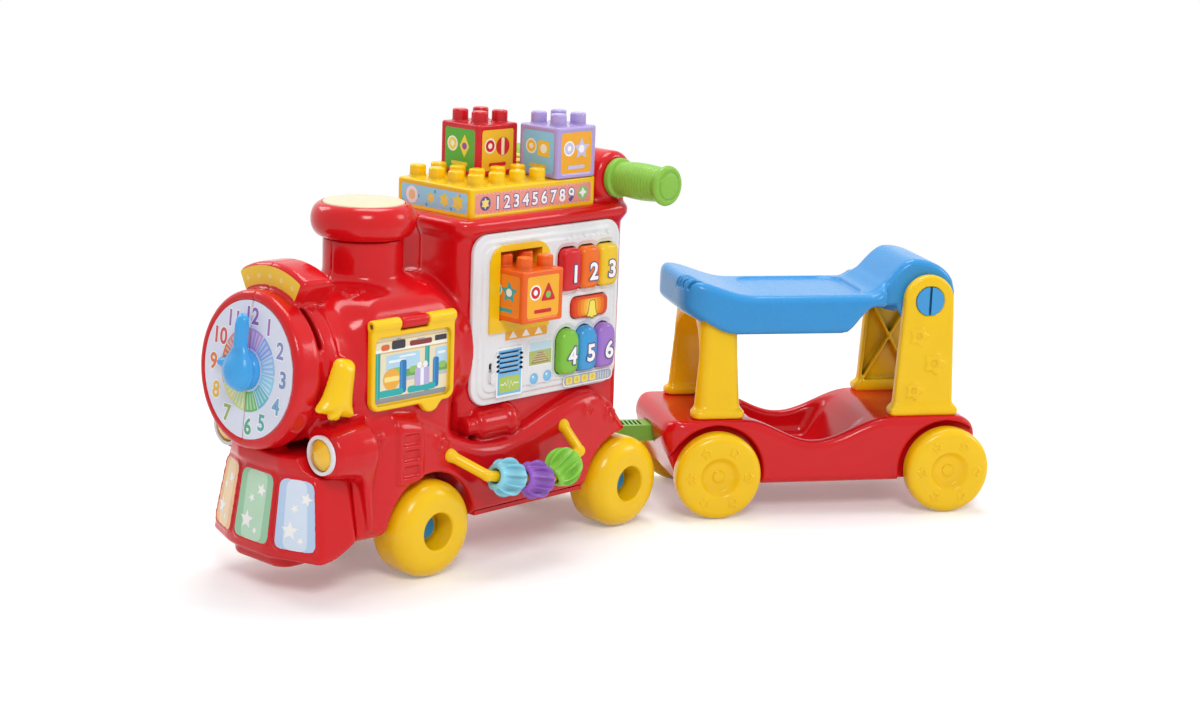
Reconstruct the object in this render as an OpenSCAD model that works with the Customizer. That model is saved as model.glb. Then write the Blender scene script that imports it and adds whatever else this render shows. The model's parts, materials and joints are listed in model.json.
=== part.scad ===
// Ride-on toy train: a locomotive with an activity side, and a wagon with a lifting seat.
// Millimetres. The nose looks along -X, the activity side along -Y, +Z is up, the ground is at zero.
// Locomotive pieces are drawn from the hitch pin forward, wagon pieces from the hitch pin back.

/* [Chassis] */
// Distance between the locomotive's axles
loco_wheelbase = 250; // [242:1:262]
// Hitch pin to the rear axle
rear_axle_gap = 50; // [47:1:56]
// Front axle to the flat front of the chassis
nose_gap = 84; // [80:1:92]
// Half of the chassis's width
chassis_half = 76; // [72:1:80]
// Lower edge of the chassis above the ground
chassis_z = 46; // [44:1:50]
// Height of the front mudguard
front_crest_z = 152; // [146:1:158]
// Height of the running board at its lowest
trough_z = 113; // [108:1:118]
// Height of the rear mudguard
rear_crest_z = 142; // [136:1:146]

/* [Boiler] */
// Radius of the boiler
boiler_r = 66; // [63:1:68]
// Height of the boiler's axis
boiler_z = 198; // [195:1:204]
// Boiler in front of the saddle
boiler_nose = 68; // [64:1:76]
// Length of the saddle that carries the chimney and the door
saddle_l = 116; // [112:1:124]
// Half of the saddle's width
saddle_half = 66; // [63:1:68]
// Top of the saddle
saddle_top = 268; // [264:1:274]
// Radius of the chimney's ring
chimney_r = 46.5; // [44:0.5:50]
// Height of the chimney's ring
chimney_h = 31; // [28:1:36]
// Length of the neck below the ring
neck_h = 34; // [30:1:40]

/* [Clock] */
// Radius of the dial
dial_r = 60; // [56:0.5:61]
// Lean of the dial
clock_tilt = 5.4; // [3:0.2:7]
// Length of the minute hand from its hub
minute_l = 49; // [42:1:54]
// Length of the hour hand from its hub
hour_l = 38; // [32:1:44]

/* [Cab] */
// Length of the cab
cab_l = 214; // [208:1:220]
// Half of the cab's width
cab_half = 57; // [55:1:60]
// Height of the cab's roof
roof_z = 314; // [308:1:320]
// Height of the handle's axis
handle_z = 340; // [337:1:346]
// Radius of the handle's hub
hub_r = 25; // [23:0.5:27]
// Radius of a grip
grip_r = 17; // [16:0.5:19]
// Length of a grip
grip_l = 69; // [64:1:78]

/* [Panel] */
// Width of the activity panel
panel_w = 190; // [184:1:196]
// Width of a number key
key_w = 24; // [22:0.5:24.5]
// Height of a key in the top row
top_key_h = 40; // [36:1:44]
// Height of a key in the bottom row
low_key_h = 43; // [38:1:45]
// How far a key stands out
key_out = 9; // [7:0.5:11]
// Press of a key
key_press = 3; // [2:0.5:3.5]
// Width of the side door
door_w = 97; // [92:1:102]
// Height of the side door below its hinge
door_h = 76; // [70:1:80]

/* [Blocks] */
// Distance between stud centres
stud_pitch = 26; // [25:0.25:27]
// Radius of a stud
stud_r = 7.5; // [7:0.25:8]
// Height of a stud
stud_h = 11.5; // [10:0.5:12.5]
// Height of the stud plate
plate_h = 29; // [26:1:32]
// Height of a block without its studs
block_h = 48; // [45:1:50]

/* [Wheels] */
// Radius of a locomotive wheel
loco_wheel_r = 44.5; // [43:0.5:46]
// Width of a locomotive wheel
loco_wheel_w = 44; // [40:1:46]
// Radius of a wagon wheel
wagon_wheel_r = 43.5; // [42:0.5:45]
// Width of a wagon wheel
wagon_wheel_w = 24; // [22:1:28]
// Radius of the axles
axle_r = 4; // [3.5:0.1:4.5]

/* [Beads] */
// Radius of a bead
bead_r = 18.5; // [17:0.5:19.5]
// Length of a bead
bead_l = 32; // [29:0.5:33]
// Radius of the rod
rod_r = 5; // [4.5:0.25:5.5]
// How far the rod stands out from the chassis
rod_out = 28; // [26:1:33]

/* [Wagon] */
// Turn of the wagon as it stands
wagon_yaw = 33; // [28:1:34]
// Hitch pin to the wagon's front axle
wagon_gap = 100; // [98:1:108]
// Distance between the wagon's axles
wagon_wheelbase = 241; // [234:1:250]
// Half of the wagon's width
wagon_half = 70; // [68:1:73]
// Height of the wagon's decks
deck_z = 97; // [94:1:101]
// Height of the tray's edge at its lowest
dip_z = 74; // [70:1:80]
// Lower edge of the wagon
wagon_z = 31; // [28:1:35]
// Height of the seat's flat
seat_z = 220; // [216:1:226]
// Half of the seat's width
seat_half = 60; // [58:1:62]
// Height of the seat's pivot
pivot_z = 214; // [211:1:217]

/* [Fits] */
// Wall of the moulded shells
wall = 3; // [2.5:0.25:3.5]
// Gap between pieces that are fixed to each other
fit = 0.3; // [0.2:0.05:0.4]
// Gap round a turning shaft
run = 0.1; // [0.06:0.02:0.1]

/* [Hidden] */
$fn = 64;
big = loco_wheelbase + cab_l + saddle_l + boiler_nose;
over = 1;
// Where the train stands on its ground
stand_x = 49.115;
stand_y = 78.167;
// Colours
red = "#cf1620";
yellow = "#f3b81c";
blue = "#3f9bd6";
green = "#7cb82f";
orange = "#ee7a1c";
purple = "#8c55a8";
white = "#ece8ea";
cream = "#f6e3b4";
steel = "#b9bcc0";
dark = "#3a3d42";

// Stations along the locomotive
tail_over = 12;
tail_x = tail_over;
tail_z = 50;
rear_axle_x = -rear_axle_gap;
front_axle_x = rear_axle_x - loco_wheelbase;
crest_f = front_axle_x - loco_wheel_r;
crest_r = rear_axle_x - loco_wheel_r;
trough_x = (crest_f + crest_r) / 2;
cab_back = 38;
cab_x1 = -cab_back;
cab_x0 = cab_x1 - cab_l;
saddle_gap = 10;
saddle_x1 = cab_x0 - saddle_gap;
saddle_x0 = saddle_x1 - saddle_l;
nose_x = min(front_axle_x - nose_gap, saddle_x0);
clock_x = saddle_x0 - boiler_nose;
chimney_x = (saddle_x0 + saddle_x1) / 2;
wheel_z = loco_wheel_r;

// Chassis
fender_r = 24;
skirt_n = 56;
tail_r = 104;
tail_block = 42;
tail_in = -tail_block;
arch_y = 36;
arch_gap = 7.5;
arch_r = loco_wheel_r + arch_gap;
carrier_r = 11;
carrier_y0 = 16;
carrier_out = 4;
carrier_y1 = arch_y + carrier_out;
core_drop = 12;
core_z = trough_z - core_drop;
shelf_t = 18;
shelf_z = chassis_z + shelf_t;
niche_r = 32;
pin_r = 5;
pan_t = 4;
bay_x0 = front_axle_x + arch_r + wall + fit;
bay_x1 = rear_axle_x - arch_r - wall - fit;
boss_r = 6;
boss_gap = 14;
boss_y = chassis_half - wall - boss_gap / 2;
screw_r = 1.8;
screw_head_r = 3.4;
screw_l = 14;

// Cowcatcher, as offsets from the nose
cow_z0 = 34;
cow_z1 = 116;
cow_lip_t = 15;
cow_out = 62;
cow_mid = 28;
cow_turn_x = 18;
cow_turn_y = 48;
cow_side = 1;
cow_top_in = 13;
cow_top_mid = 25;
cow_top_share = 0.75;
cow_back_share = 0.8;
cow_lip = 3;
plate_t = 1.2;
plate_lo_share = 0.16;
plate_hi_share = 0.86;
plate_in_share = 0.07;

// Saddle, chimney, clock, sign, lamps and bells
saddle_round = 26;
saddle_end_round = 20;
neck_r = 36;
neck_flare_r = 46;
neck_flare_h = 18;
neck_in = 6;
neck_z0 = saddle_top - neck_in;
ring_z0 = saddle_top + neck_h;
ring_z1 = ring_z0 + chimney_h;
rim_w = 10;
rim_round = 12;
drum_r = chimney_r - rim_w;
drum_t = 6;
drum_press = 2.5;
drum_proud = 1;
drum_stem_r = 9;
drum_stem_l = 15;
dial_t = 1.5;
bezel_step = 3;
bezel_r = boiler_r + bezel_step;
bezel_l = 24;
bezel_out = 2.5;
cow_lip_z = min(boiler_z - bezel_r - bezel_l * sin(clock_tilt) - fit, cow_z1 + cow_lip_t);
spindle_r = 4;
spindle_out = 2;
hand_t = 7;
hand_w = 7;
hub_out_r = 17;
seam = 0.15;
sign_back = 22;
sign_x0 = clock_x + sign_back;
sign_l = 42;
sign_in = 4;
sign_r0 = boiler_r - sign_in;
sign_h = 25;
sign_r1 = boiler_r + sign_h;
sign_half_deg = 31;
lamp_out = 34;
lamp_in = 8;
lamp_x = nose_x - lamp_out;
lamp_y = 65.5;
lamp_z = 131;
lamp_r = 21;
lamp_ring_r = 17.5;
lamp_ring_w = 3;
lamp_ring_t = 3;
lamp_dome = 7;
bell_gap = 24;
bell_x = saddle_x0 - bell_gap;
bell_up = 8;
bell_z = boiler_z + bell_up;
bell_pin_r = 4;
bell_boss_r = 8;
bell_off = 1.5;
bell_y0 = bezel_r + bell_off;
bell_t = 10;
bell_low_r = 20;
bell_h = 54;
bell_crown_share = 0.16;
bell_lean = 15;
bell_shares = [[0, 0.3], [0.04, 0.42], [0.16, 0.5], [0.4, 0.58], [0.58, 0.66], [0.74, 0.8], [0.84, 1],
    [0.92, 1], [0.92, 0.24], [1, 0.18]];

// Door
door_t = 8;
door_gap = 6;
door_x0 = saddle_x0 + door_gap;
door_x1 = door_x0 + door_w;
hinge_up = 40;
hinge_z = boiler_z + hinge_up;
hinge_off = 5.9;
hinge_y = saddle_half + hinge_off;
door_clear = 0.9;
door_back = hinge_off - door_clear;
barrel_r = 5.5;
knuckle_lo_share = 0.34;
knuckle_hi_share = 0.66;
knuckle_x0 = door_x0 + knuckle_lo_share * door_w;
knuckle_x1 = door_x0 + knuckle_hi_share * door_w;
door_pin_r = 2;
door_pin_in = 3;
door_bead = 6;
door_panel_t = 3;
door_tab_share = 0.72;
door_tab_x = door_x0 + door_tab_share * door_w;
door_tab_r = 11;
door_tab_up = 2;

// Cab, roof and handle
cab_round = 14;
roof_t = 10;
roof_lip = 4;
handle_gap = 12;
handle_x = cab_x1 - handle_gap;
hub_half = 52;
neck_half = 46;
stub_r = 11;
grip_lip = 2;
grip_end_r = grip_r + grip_lip;
grip_end_l = 8;
stub_l = grip_l - grip_end_l;

// Panel
panel_gap = 15;
panel_x1 = cab_x1 - panel_gap;
panel_x0 = panel_x1 - panel_w;
panel_lift = 2.5;
panel_z0 = rear_crest_z + panel_lift;
panel_drop = 1;
panel_z1 = roof_z - roof_t - panel_drop;
panel_h = panel_z1 - panel_z0;
panel_round = 18;
panel_back = cab_half + fit;
panel_rim = 5;
rim_t = 5;
panel_t = 8;
skin = 3;
panel_face = panel_back + panel_t;
skin_back = panel_face - skin;
window_in = 8;
keys_x_share = 0.752;
keys_x = panel_x0 + keys_x_share * panel_w;
top_row_share = 0.737;
top_row_z = panel_z0 + top_row_share * panel_h;
low_row_share = 0.245;
low_row_z = panel_z0 + low_row_share * panel_h;
key_space = 0.8;
key_pitch = key_w + key_space;
key_gap = 0.5;
key_round = 6;
flange = 2;
flange_t = 2;
bell_key_w = 47;
bell_key_h = 20;
bell_key_off = 4;
bell_key_x = keys_x + bell_key_off;
bell_key_z = (top_row_z - top_key_h / 2 + low_row_z + low_key_h / 2) / 2;
bell_key_out = 3;
board_clear = 2.2;
board_y = skin_back - flange_t - key_press - board_clear;
board_t = 1.6;
board_edge = 0.6;
board_half_w = 3 * key_pitch / 2 + board_edge;
board_post_r = 2.6;
board_in = 1;
board_z0 = panel_z0 + window_in + board_in;
board_z1 = panel_z1 - window_in - board_in;
speaker_x_share = 0.25;
speaker_x = panel_x0 + speaker_x_share * panel_w;
speaker_z_share = 0.19;
speaker_z = panel_z0 + speaker_z_share * panel_h;
speaker_r = 18;
speaker_cone_r = 13;
speaker_t = 12;
slots = 5;
slot_w = 26;
slot_h = 2.2;
slot_pitch = 6;
slider_x_share = 0.115;
slider_x = panel_x0 + slider_x_share * panel_w;
slider_w = 5;
slider_h = 10;
slider_play = 8;
slider_out = 3;
slider_z = speaker_z - slider_play / 2;
dock_x_share = 0.286;
dock_x = panel_x0 + dock_x_share * panel_w;
dock_z_share = 0.502;
dock_z = panel_z0 + dock_z_share * panel_h;
dock_wall = 1.5;
dock_play = 0.6;
dock_depth = 20;
dock_trim = 12;
dock_head = 3;
dock_top = stud_h + dock_head;
dock_t = 2;

// Batteries
cell_r = 7.1;
cell_l = 50;
cells = 3;
cell_gap = 1;
cell_pitch = 2 * cell_r + cell_gap;
tray_wall = 2;
tray_x = cab_x0 + cab_l / 2;
tray_up = 110;
tray_z = core_z + tray_up;
cover_w = 72;
cover_h = 62;
cover_t = 2.5;
cover_lip = 5;

// Plate and blocks
stud_cols = 6;
stud_rows = 4;
stud_margin_x = 15.5;
stud_margin_y = 11;
plate_l = (stud_cols - 1) * stud_pitch + 2 * stud_margin_x;
plate_half = (stud_rows - 1) * stud_pitch / 2 + stud_margin_y;
plate_gap = 1;
plate_x1 = handle_x - hub_r - plate_gap;
plate_x0 = plate_x1 - plate_l;
plate_z = roof_z + fit;
stud_z = plate_z + plate_h;
block_play = 0.2;
block_half = stud_pitch - block_play;
block_in = stud_pitch / 2 + stud_r + fit;

// Loco wheels
wheel_gap = 2;
tread_y0 = carrier_y1 + wheel_gap;
cup_r = 17;
cup_depth = 25;
tread_round = 15;
cap_r = 10;
cap_t = 7;
axle_half = tread_y0 + loco_wheel_w - cup_depth + cap_t / 2;

// Bead rod, from the trough of the running board
rod_y = chassis_half + rod_out;
rod_in_x = 60;
rod_in_drop = 3;
rod_left_x = 46;
rod_left_drop = 18;
rod_low_x = 38;
rod_low_drop = 38;
rod_right_x = 78;
rod_right_drop = 16;
rod_out_x = 84;
rod_out_rise = 2;
rod_a = [trough_x - rod_in_x, -chassis_half + over, trough_z - rod_in_drop];
rod_b = [trough_x - rod_left_x, -rod_y, trough_z - rod_left_drop];
rod_c = [trough_x + rod_low_x, -rod_y, trough_z - rod_low_drop];
rod_d = [trough_x + rod_right_x, -rod_y, trough_z - rod_right_drop];
rod_e = [trough_x + rod_out_x, -chassis_half + over, trough_z + rod_out_rise];
elbow = 0.3;
bead_1_share = 0.36;
bead_2_share = 0.79;
bead_3_share = 0.46;
bead_ribs = 10;
rib_r = 4.2;
rib_out = 1.4;

// Wagon stations
wax_f = wagon_gap;
wax_r = wagon_gap + wagon_wheelbase;
prow = 56;
wnose = wagon_gap - prow;
stern = 40;
wtail = wax_r + stern;
nose_slope = 22;
prow_drop = 16;
nose_step_z = deck_z - prow_drop;
prow_r = 12;
deck_n = 48;
wagon_round = 24;
wheel_tuck = 9;
wheel_y0 = wagon_half - wheel_tuck;
wagon_arch_gap = 5;
wagon_arch_r = wagon_wheel_r + wagon_arch_gap;
arch_wall_y = wheel_y0 - wheel_gap;
dip_shift = 18;
mid_s = (wax_f + wax_r) / 2 - dip_shift;
deck_front = 28;
flat_f = wax_f + deck_front;
deck_rear = 58;
flat_r = wax_r - deck_rear;
tray_front = 33;
tray_s0 = wax_f + tray_front;
tray_rear = 76;
tray_s1 = wax_r - tray_rear;
tray_edge = 15;
tray_half = wagon_half - tray_edge;
floor_t = 6;
tray_up_z = 17;
tray_floor = wagon_z + tray_up_z;
tray_ramp = 40;
tray_round = 12;
tray_n = 40;
prow_block = 6;
hold_f0 = wnose + nose_slope + prow_block;
hold_top = 9;
tail_drop = 34;
tail_fall = 32;
axle_in_share = 0.7;
dish_share = 0.86;
wagon_axle_half = wheel_y0 + axle_in_share * wagon_wheel_w;

// Drawbar
bar_z0 = shelf_z + fit;
bar_t = 16;
bar_half = 13;
eye_r = 14;
bar_grip = 6;
bar_end = hold_f0 + bar_grip;
rib_slots = 6;
rib_slot_w = 2.2;
rib_slot_half = 8.5;
rib_slot_t = 4;
pin_head_r = 9;
pin_head_t = 5;

// Arch, posts and seat
arch_front = 21;
arch_s0 = wax_f - arch_front;
arch_rear = 27;
arch_s1 = wax_f + arch_rear;
arch_lean = 6;
arch_in = 10;
arch_half = wagon_half - arch_in;
arch_drop = 10;
arch_top = seat_z - arch_drop;
arch_tuck = 9;
arch_top_half = seat_half - arch_tuck;
arch_leg = 15;
arch_beam = 18;
arch_bend = 38;
base_t = 8;
base_lip = 3;
pivot_gap = 23;
pivot_s = wax_r - pivot_gap;
post_r = 26;
post_lean = 6;
post_t = 12;
post_y1 = seat_half;
post_y0 = post_y1 - post_t;
post_rib = 3;
post_floor = 4;
seat_pin_r = 14.5;
pin_slot = 2.6;
pin_slot_t = 3;
seat_front = 14;
seat_s0 = wnose + seat_front;
seat_back = 32;
seat_s1 = pivot_s + seat_back;
seat_wide_gap = 44;
seat_wide_s = pivot_s - seat_wide_gap;
seat_front_up = 17;
seat_front_t = 35;
seat_front_r = 10;
seat_hump = 34;
seat_skirt = 40;
seat_wall = 4;
seat_n = 44;
seat_in = 14;
seat_plan_r = 32;
seat_room_r = 16;
hump_gap = 14;
hump_s = pivot_s - hump_gap;
rise_gap = 22;
rise_s = wax_f + rise_gap;
flat_gap = 62;
flat_end_s = pivot_s - flat_gap;
low_gap = 18;
low_s = wax_f + low_gap;
low_end_gap = 88;
low_end_s = pivot_s - low_end_gap;
low_run = 32;
seat_play = 0.6;
seat_rear_half = post_y0 - seat_play;
rear_low = 8;
rest_front = 12;
rest_s0 = wax_f - rest_front;
rest_rear = 18;
rest_s1 = wax_f + rest_rear;

function blend(a, b, t) = a + (b - a) * (1 - cos(180 * max(0, min(1, t)))) / 2;
function mix(a, b, t) = a + (b - a) * t;
function nose_fall(x) = fender_r - sqrt(max(0, pow(fender_r, 2) - pow(max(0, nose_x + fender_r - x), 2)));
function skirt_z(x) = x < crest_f ? front_crest_z - nose_fall(x)
    : x < trough_x ? blend(front_crest_z, trough_z, (x - crest_f) / (trough_x - crest_f))
    : x < crest_r ? blend(trough_z, rear_crest_z, (x - trough_x) / (crest_r - trough_x))
    : blend(rear_crest_z, tail_z, (x - crest_r) / (tail_x - crest_r));
function skirt_line(x0, x1, d) =
    [for (i = [0 : skirt_n]) let (x = mix(x0, x1, i / skirt_n)) [x, skirt_z(x) - d]];
function deck_top(s) = s < mid_s ? blend(deck_z, dip_z, (s - flat_f) / (mid_s - flat_f))
    : blend(dip_z, deck_z, (s - mid_s) / (flat_r - mid_s));
function tray_line_z(s) = s < mid_s ? blend(deck_z, tray_floor, (s - tray_s0) / tray_ramp)
    : blend(tray_floor, deck_z, (s - tray_s1 + tray_ramp) / tray_ramp);
function tail_top(s) = s < wtail - tail_fall ? 0
    : tail_drop * (1 - sqrt(max(0, 1 - pow((s - wtail + tail_fall) / tail_fall, 2))));
function seat_top(s) = s < rise_s + seat_front_up
    ? seat_z + blend(seat_front_up, 0, (s - wnose - seat_front_up) / (rise_s - wnose)) - seat_end(s)
    : s < hump_s ? seat_z + blend(0, seat_hump, (s - flat_end_s) / (hump_s - flat_end_s))
    : seat_z + seat_hump * sqrt(max(0, 1 - pow((s - hump_s) / (seat_s1 - hump_s + over), 2)));
function seat_end(s) = seat_front_r
    - sqrt(max(0, pow(seat_front_r, 2) - pow(max(0, seat_s0 + seat_front_r - s), 2)));
function seat_low(s) = s < low_s
    ? blend(seat_z + seat_front_up - seat_front_t, seat_z - seat_skirt, (s - seat_s0) / (low_s - seat_s0))
    : blend(seat_z - seat_skirt, pivot_z - rear_low, (s - low_end_s) / low_run);
function cross_n(u, v) = cross(u, v) / norm(cross(u, v));

// Drawing helpers: boxes, rods along an axis, side views drawn across and front views drawn along
module slab(x0, x1, y0, y1, z0, z1)
    translate([x0, y0, z0]) cube([x1 - x0, y1 - y0, z1 - z0]);
module bar_x(x0, x1, y, z, r)
    translate([x0, y, z]) rotate([0, 90, 0]) cylinder(r = r, h = x1 - x0);
module bar_y(x, y0, y1, z, r)
    translate([x, y0, z]) rotate([-90, 0, 0]) cylinder(r = r, h = y1 - y0);
module post(x, y, z0, z1, r)
    translate([x, y, z0]) cylinder(r = r, h = z1 - z0);
module across(y0, y1)
    translate([0, y1, 0]) rotate([90, 0, 0]) linear_extrude(y1 - y0) children();
module along(x0, x1)
    translate([x0, 0, 0]) rotate([90, 0, 90]) linear_extrude(x1 - x0) children();
module box2(x0, x1, y0, y1)
    translate([x0, y0]) square([x1 - x0, y1 - y0]);
module disc2(x, y, r)
    translate([x, y]) circle(r);
module arch2(x0, x1, y0, y1, r) {
    box2(x0, x1, y0, y1 - r);
    box2(x0 + r, x1 - r, y0, y1);
    disc2(x0 + r, y1 - r, r);
    disc2(x1 - r, y1 - r, r);
}
module round2(x0, x1, y0, y1, r) {
    arch2(x0, x1, y0 + r, y1, r);
    box2(x0 + r, x1 - r, y0, y1);
    disc2(x0 + r, y0 + r, r);
    disc2(x1 - r, y0 + r, r);
}
module loco()
    translate([stand_x, stand_y, 0]) children();
module wagon()
    translate([stand_x, stand_y, 0]) rotate([0, 0, -wagon_yaw]) children();
module on_clock()
    translate([clock_x, 0, boiler_z]) rotate([0, clock_tilt - 90, 0]) children();
module both_sides() {
    children();
    mirror([0, 1, 0]) children();
}
module rod_part(a, b, r) {
    d = b - a;
    translate(a) rotate([0, acos(d[2] / norm(d)), atan2(d[1], d[0])]) cylinder(r = r, h = norm(d));
}

// The red body of the locomotive, before it is split into halves
module chassis_form()
    intersection() {
        across(-chassis_half, chassis_half)
            polygon(concat(skirt_line(nose_x, tail_x, 0), [[tail_x, chassis_z], [nose_x, chassis_z]]));
        translate([0, 0, chassis_z]) linear_extrude(front_crest_z) {
            box2(nose_x, tail_x - tail_r / 2, -chassis_half, chassis_half);
            intersection() {
                box2(tail_x - tail_r, tail_x, -chassis_half, chassis_half);
                disc2(tail_x - tail_r, 0, tail_r);
            }
        }
    }
module wheel_bays(grow, y0)
    both_sides() for (x = [front_axle_x, rear_axle_x])
        bar_y(x, y0, chassis_half + 2 * over, wheel_z, arch_r + grow);
module chassis_room()
    difference() {
        across(-chassis_half + wall, chassis_half - wall)
            polygon(concat(skirt_line(nose_x + wall, tail_in, wall),
                [[tail_in, chassis_z - over], [nose_x + wall, chassis_z - over]]));
        wheel_bays(wall, arch_y - wall);
    }
module axle_carriers()
    both_sides() for (x = [front_axle_x, rear_axle_x])
        across(carrier_y0, carrier_y1) {
            disc2(x, wheel_z, carrier_r);
            box2(x - carrier_r, x + carrier_r, wheel_z, wheel_z + arch_r + wall / 2);
        }
module saddle_form(d)
    intersection() {
        along(saddle_x0 + d, saddle_x1 - d)
            arch2(-saddle_half + d, saddle_half - d, core_z, saddle_top - d, saddle_round - d);
        across(-saddle_half, saddle_half)
            arch2(saddle_x0 + d, saddle_x1 - d, core_z, saddle_top - d, saddle_end_round - d);
    }
module cab_form() {
    translate([0, 0, core_z]) linear_extrude(roof_z - core_z)
        round2(cab_x0, cab_x1, -cab_half, cab_half, cab_round);
    translate([0, 0, roof_z - roof_t]) linear_extrude(roof_t)
        round2(cab_x0 - roof_lip, cab_x1 + roof_lip, -cab_half - roof_lip, cab_half + roof_lip, cab_round);
    across(-neck_half, neck_half)
        box2(handle_x - hub_r, cab_x1 + roof_lip, roof_z - over, handle_z);
    bar_y(handle_x, -hub_half, hub_half, handle_z, hub_r);
    bar_y(handle_x, -hub_half - stub_l, hub_half + stub_l, handle_z, stub_r);
}
module boiler_form() {
    bar_x(clock_x + bezel_l / 2, cab_x0 + over, 0, boiler_z, boiler_r - fit);
    on_clock() {
        translate([0, 0, -bezel_l]) cylinder(r = bezel_r, h = bezel_l);
        difference() {
            cylinder(r = bezel_r, h = bezel_out);
            translate([0, 0, -over]) cylinder(r = dial_r + fit, h = bezel_out + 2 * over);
        }
    }
    translate([sign_x0, 0, boiler_z]) rotate([0, 90, 0]) rotate([0, 0, 180 - sign_half_deg])
        rotate_extrude(angle = 2 * sign_half_deg) box2(sign_r0, sign_r1, 0, sign_l);
    post(chimney_x, 0, neck_z0, ring_z0, neck_r);
    translate([chimney_x, 0, saddle_top - over]) cylinder(r1 = neck_flare_r, r2 = neck_r, h = neck_flare_h);
    both_sides() {
        bar_x(lamp_x, nose_x + lamp_in, lamp_y, lamp_z, lamp_r);
        bar_y(bell_x, boiler_r / 2, bell_y0 - fit, bell_z, bell_boss_r);
        bar_y(bell_x, boiler_r / 2, bell_y0 + bell_t, bell_z, bell_pin_r);
    }
    bar_x(knuckle_x0, knuckle_x1, -hinge_y, hinge_z, barrel_r);
    slab(knuckle_x0, knuckle_x1, -hinge_y, -saddle_half + wall,
        hinge_z - barrel_r / 2, hinge_z + barrel_r / 2);
}
module pan_bosses(r, z0)
    both_sides() for (x = [bay_x0 + boss_gap, bay_x1 - boss_gap])
        post(x, boss_y, z0, skirt_z(x) - wall / 2, r);
module shell() {
    difference() {
        union() {
            difference() {
                union() {
                    chassis_form();
                    saddle_form(0);
                    cab_form();
                    boiler_form();
                }
                chassis_room();
                saddle_form(wall);
                bar_x(clock_x + bezel_l, cab_x0 + 2 * wall, 0, boiler_z, boiler_r - wall);
                translate([0, 0, core_z - wall]) linear_extrude(roof_z - wall - core_z)
                    round2(cab_x0 + wall, cab_x1 - wall, -cab_half + wall, cab_half - wall, cab_round - wall);
                post(chimney_x, 0, neck_z0 - wall, ring_z0 + over, neck_r - wall);
            }
            axle_carriers();
            pan_bosses(boss_r, chassis_z + pan_t + 2 * fit);
        }
        difference() {
            wheel_bays(0, arch_y);
            axle_carriers();
        }
        for (x = [front_axle_x, rear_axle_x])
            bar_y(x, -carrier_y1 - over, carrier_y1 + over, wheel_z, axle_r + run);
        post(0, 0, shelf_z, front_crest_z, niche_r);
        post(0, 0, chassis_z - over, shelf_z + over, pin_r + run);
        slab(panel_x0 + window_in, panel_x1 - window_in, -cab_half - over, -cab_half + 2 * wall,
            panel_z0 + window_in, panel_z1 - window_in);
        slab(tray_x - cell_l / 2 - fit, tray_x + cell_l / 2 + fit, cab_half - 2 * wall,
            cab_half + over, tray_z - cells * cell_pitch / 2, tray_z + cells * cell_pitch / 2);
        bar_x(door_x0, door_x1, -hinge_y, hinge_z, door_pin_r + run);
        on_clock() translate([0, 0, -bezel_l - over]) cylinder(r = spindle_r + run, h = bezel_l + 2 * over);
        pan_bosses(screw_r + run, chassis_z);
    }
}
module shell_right()
    color(red) loco() intersection() {
        shell();
        slab(-big, big, -big, -seam, 0, big);
    }
module shell_left()
    color(red) loco() intersection() {
        shell();
        slab(-big, big, seam, big, 0, big);
    }

// The red cowcatcher under the clock, with three turned faces, and the coloured plates on them
cow_low = [[0, cow_mid + cow_turn_y + cow_side], [cow_turn_x - cow_out, cow_mid + cow_turn_y],
    [-cow_out, cow_mid]];
cow_high = [[0, cow_back_share * cow_low[0][1]],
    [cow_top_in - cow_out + cow_top_share * cow_turn_x, cow_top_mid + cow_top_share * cow_turn_y],
    [cow_top_in - cow_out, cow_top_mid]];
function two_sided(line, d) = concat([for (p = line) [p[0] + (p[0] < 0 ? d : 0), p[1] - d]],
    [for (i = [len(line) - 1 : -1 : 0]) [line[i][0] + (line[i][0] < 0 ? d : 0), d - line[i][1]]]);
module cow_form(d, z0, z1)
    hull() {
        translate([0, 0, z0]) linear_extrude(over) polygon(two_sided(cow_low, d));
        translate([0, 0, z1 - over]) linear_extrude(over) polygon(two_sided(cow_high, d));
    }
module cowcatcher()
    color(red) loco() difference() {
        translate([nose_x - fit, 0, 0]) {
            difference() {
                cow_form(0, cow_z0, cow_z1);
                translate([-wall, 0, -over]) cow_form(wall, cow_z0, cow_z1 - wall);
            }
            translate([0, 0, cow_z1]) linear_extrude(cow_lip_z - cow_z1)
                polygon(two_sided(cow_high, -cow_lip));
        }
        slab(nose_x - fit, big, -big, big, 0, big);
        both_sides() bar_x(lamp_x - over, nose_x, lamp_y, lamp_z, lamp_r + fit);
        both_sides() bar_x(lamp_x - 2 * lamp_r, lamp_x, lamp_y, lamp_z, lamp_r + fit);
    }
module face_plate(p0, p1, q0, q1) {
    n = cross_n(p1 - p0, q0 - p0);
    function at(u, v) = mix(mix(p0, p1, u), mix(q0, q1, u), v);
    ring = [at(plate_in_share, plate_lo_share), at(1 - plate_in_share, plate_lo_share),
        at(1 - plate_in_share, plate_hi_share), at(plate_in_share, plate_hi_share)];
    polyhedron(points = concat([for (p = ring) p + n * fit], [for (p = ring) p + n * (fit + plate_t)]),
        faces = [[0, 1, 2, 3], [7, 6, 5, 4], [0, 4, 5, 1], [1, 5, 6, 2], [2, 6, 7, 3], [3, 7, 4, 0]]);
}
function low3(i, side) = [nose_x - fit + cow_low[i][0], side * cow_low[i][1], cow_z0];
function high3(i, side) = [nose_x - fit + cow_high[i][0], side * cow_high[i][1], cow_z1];
module nose_plates()
    color(green) loco() {
        face_plate(low3(2, 1), low3(2, -1), high3(2, 1), high3(2, -1));
        face_plate(low3(2, -1), low3(1, -1), high3(2, -1), high3(1, -1));
        face_plate(low3(1, 1), low3(2, 1), high3(1, 1), high3(2, 1));
    }

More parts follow.
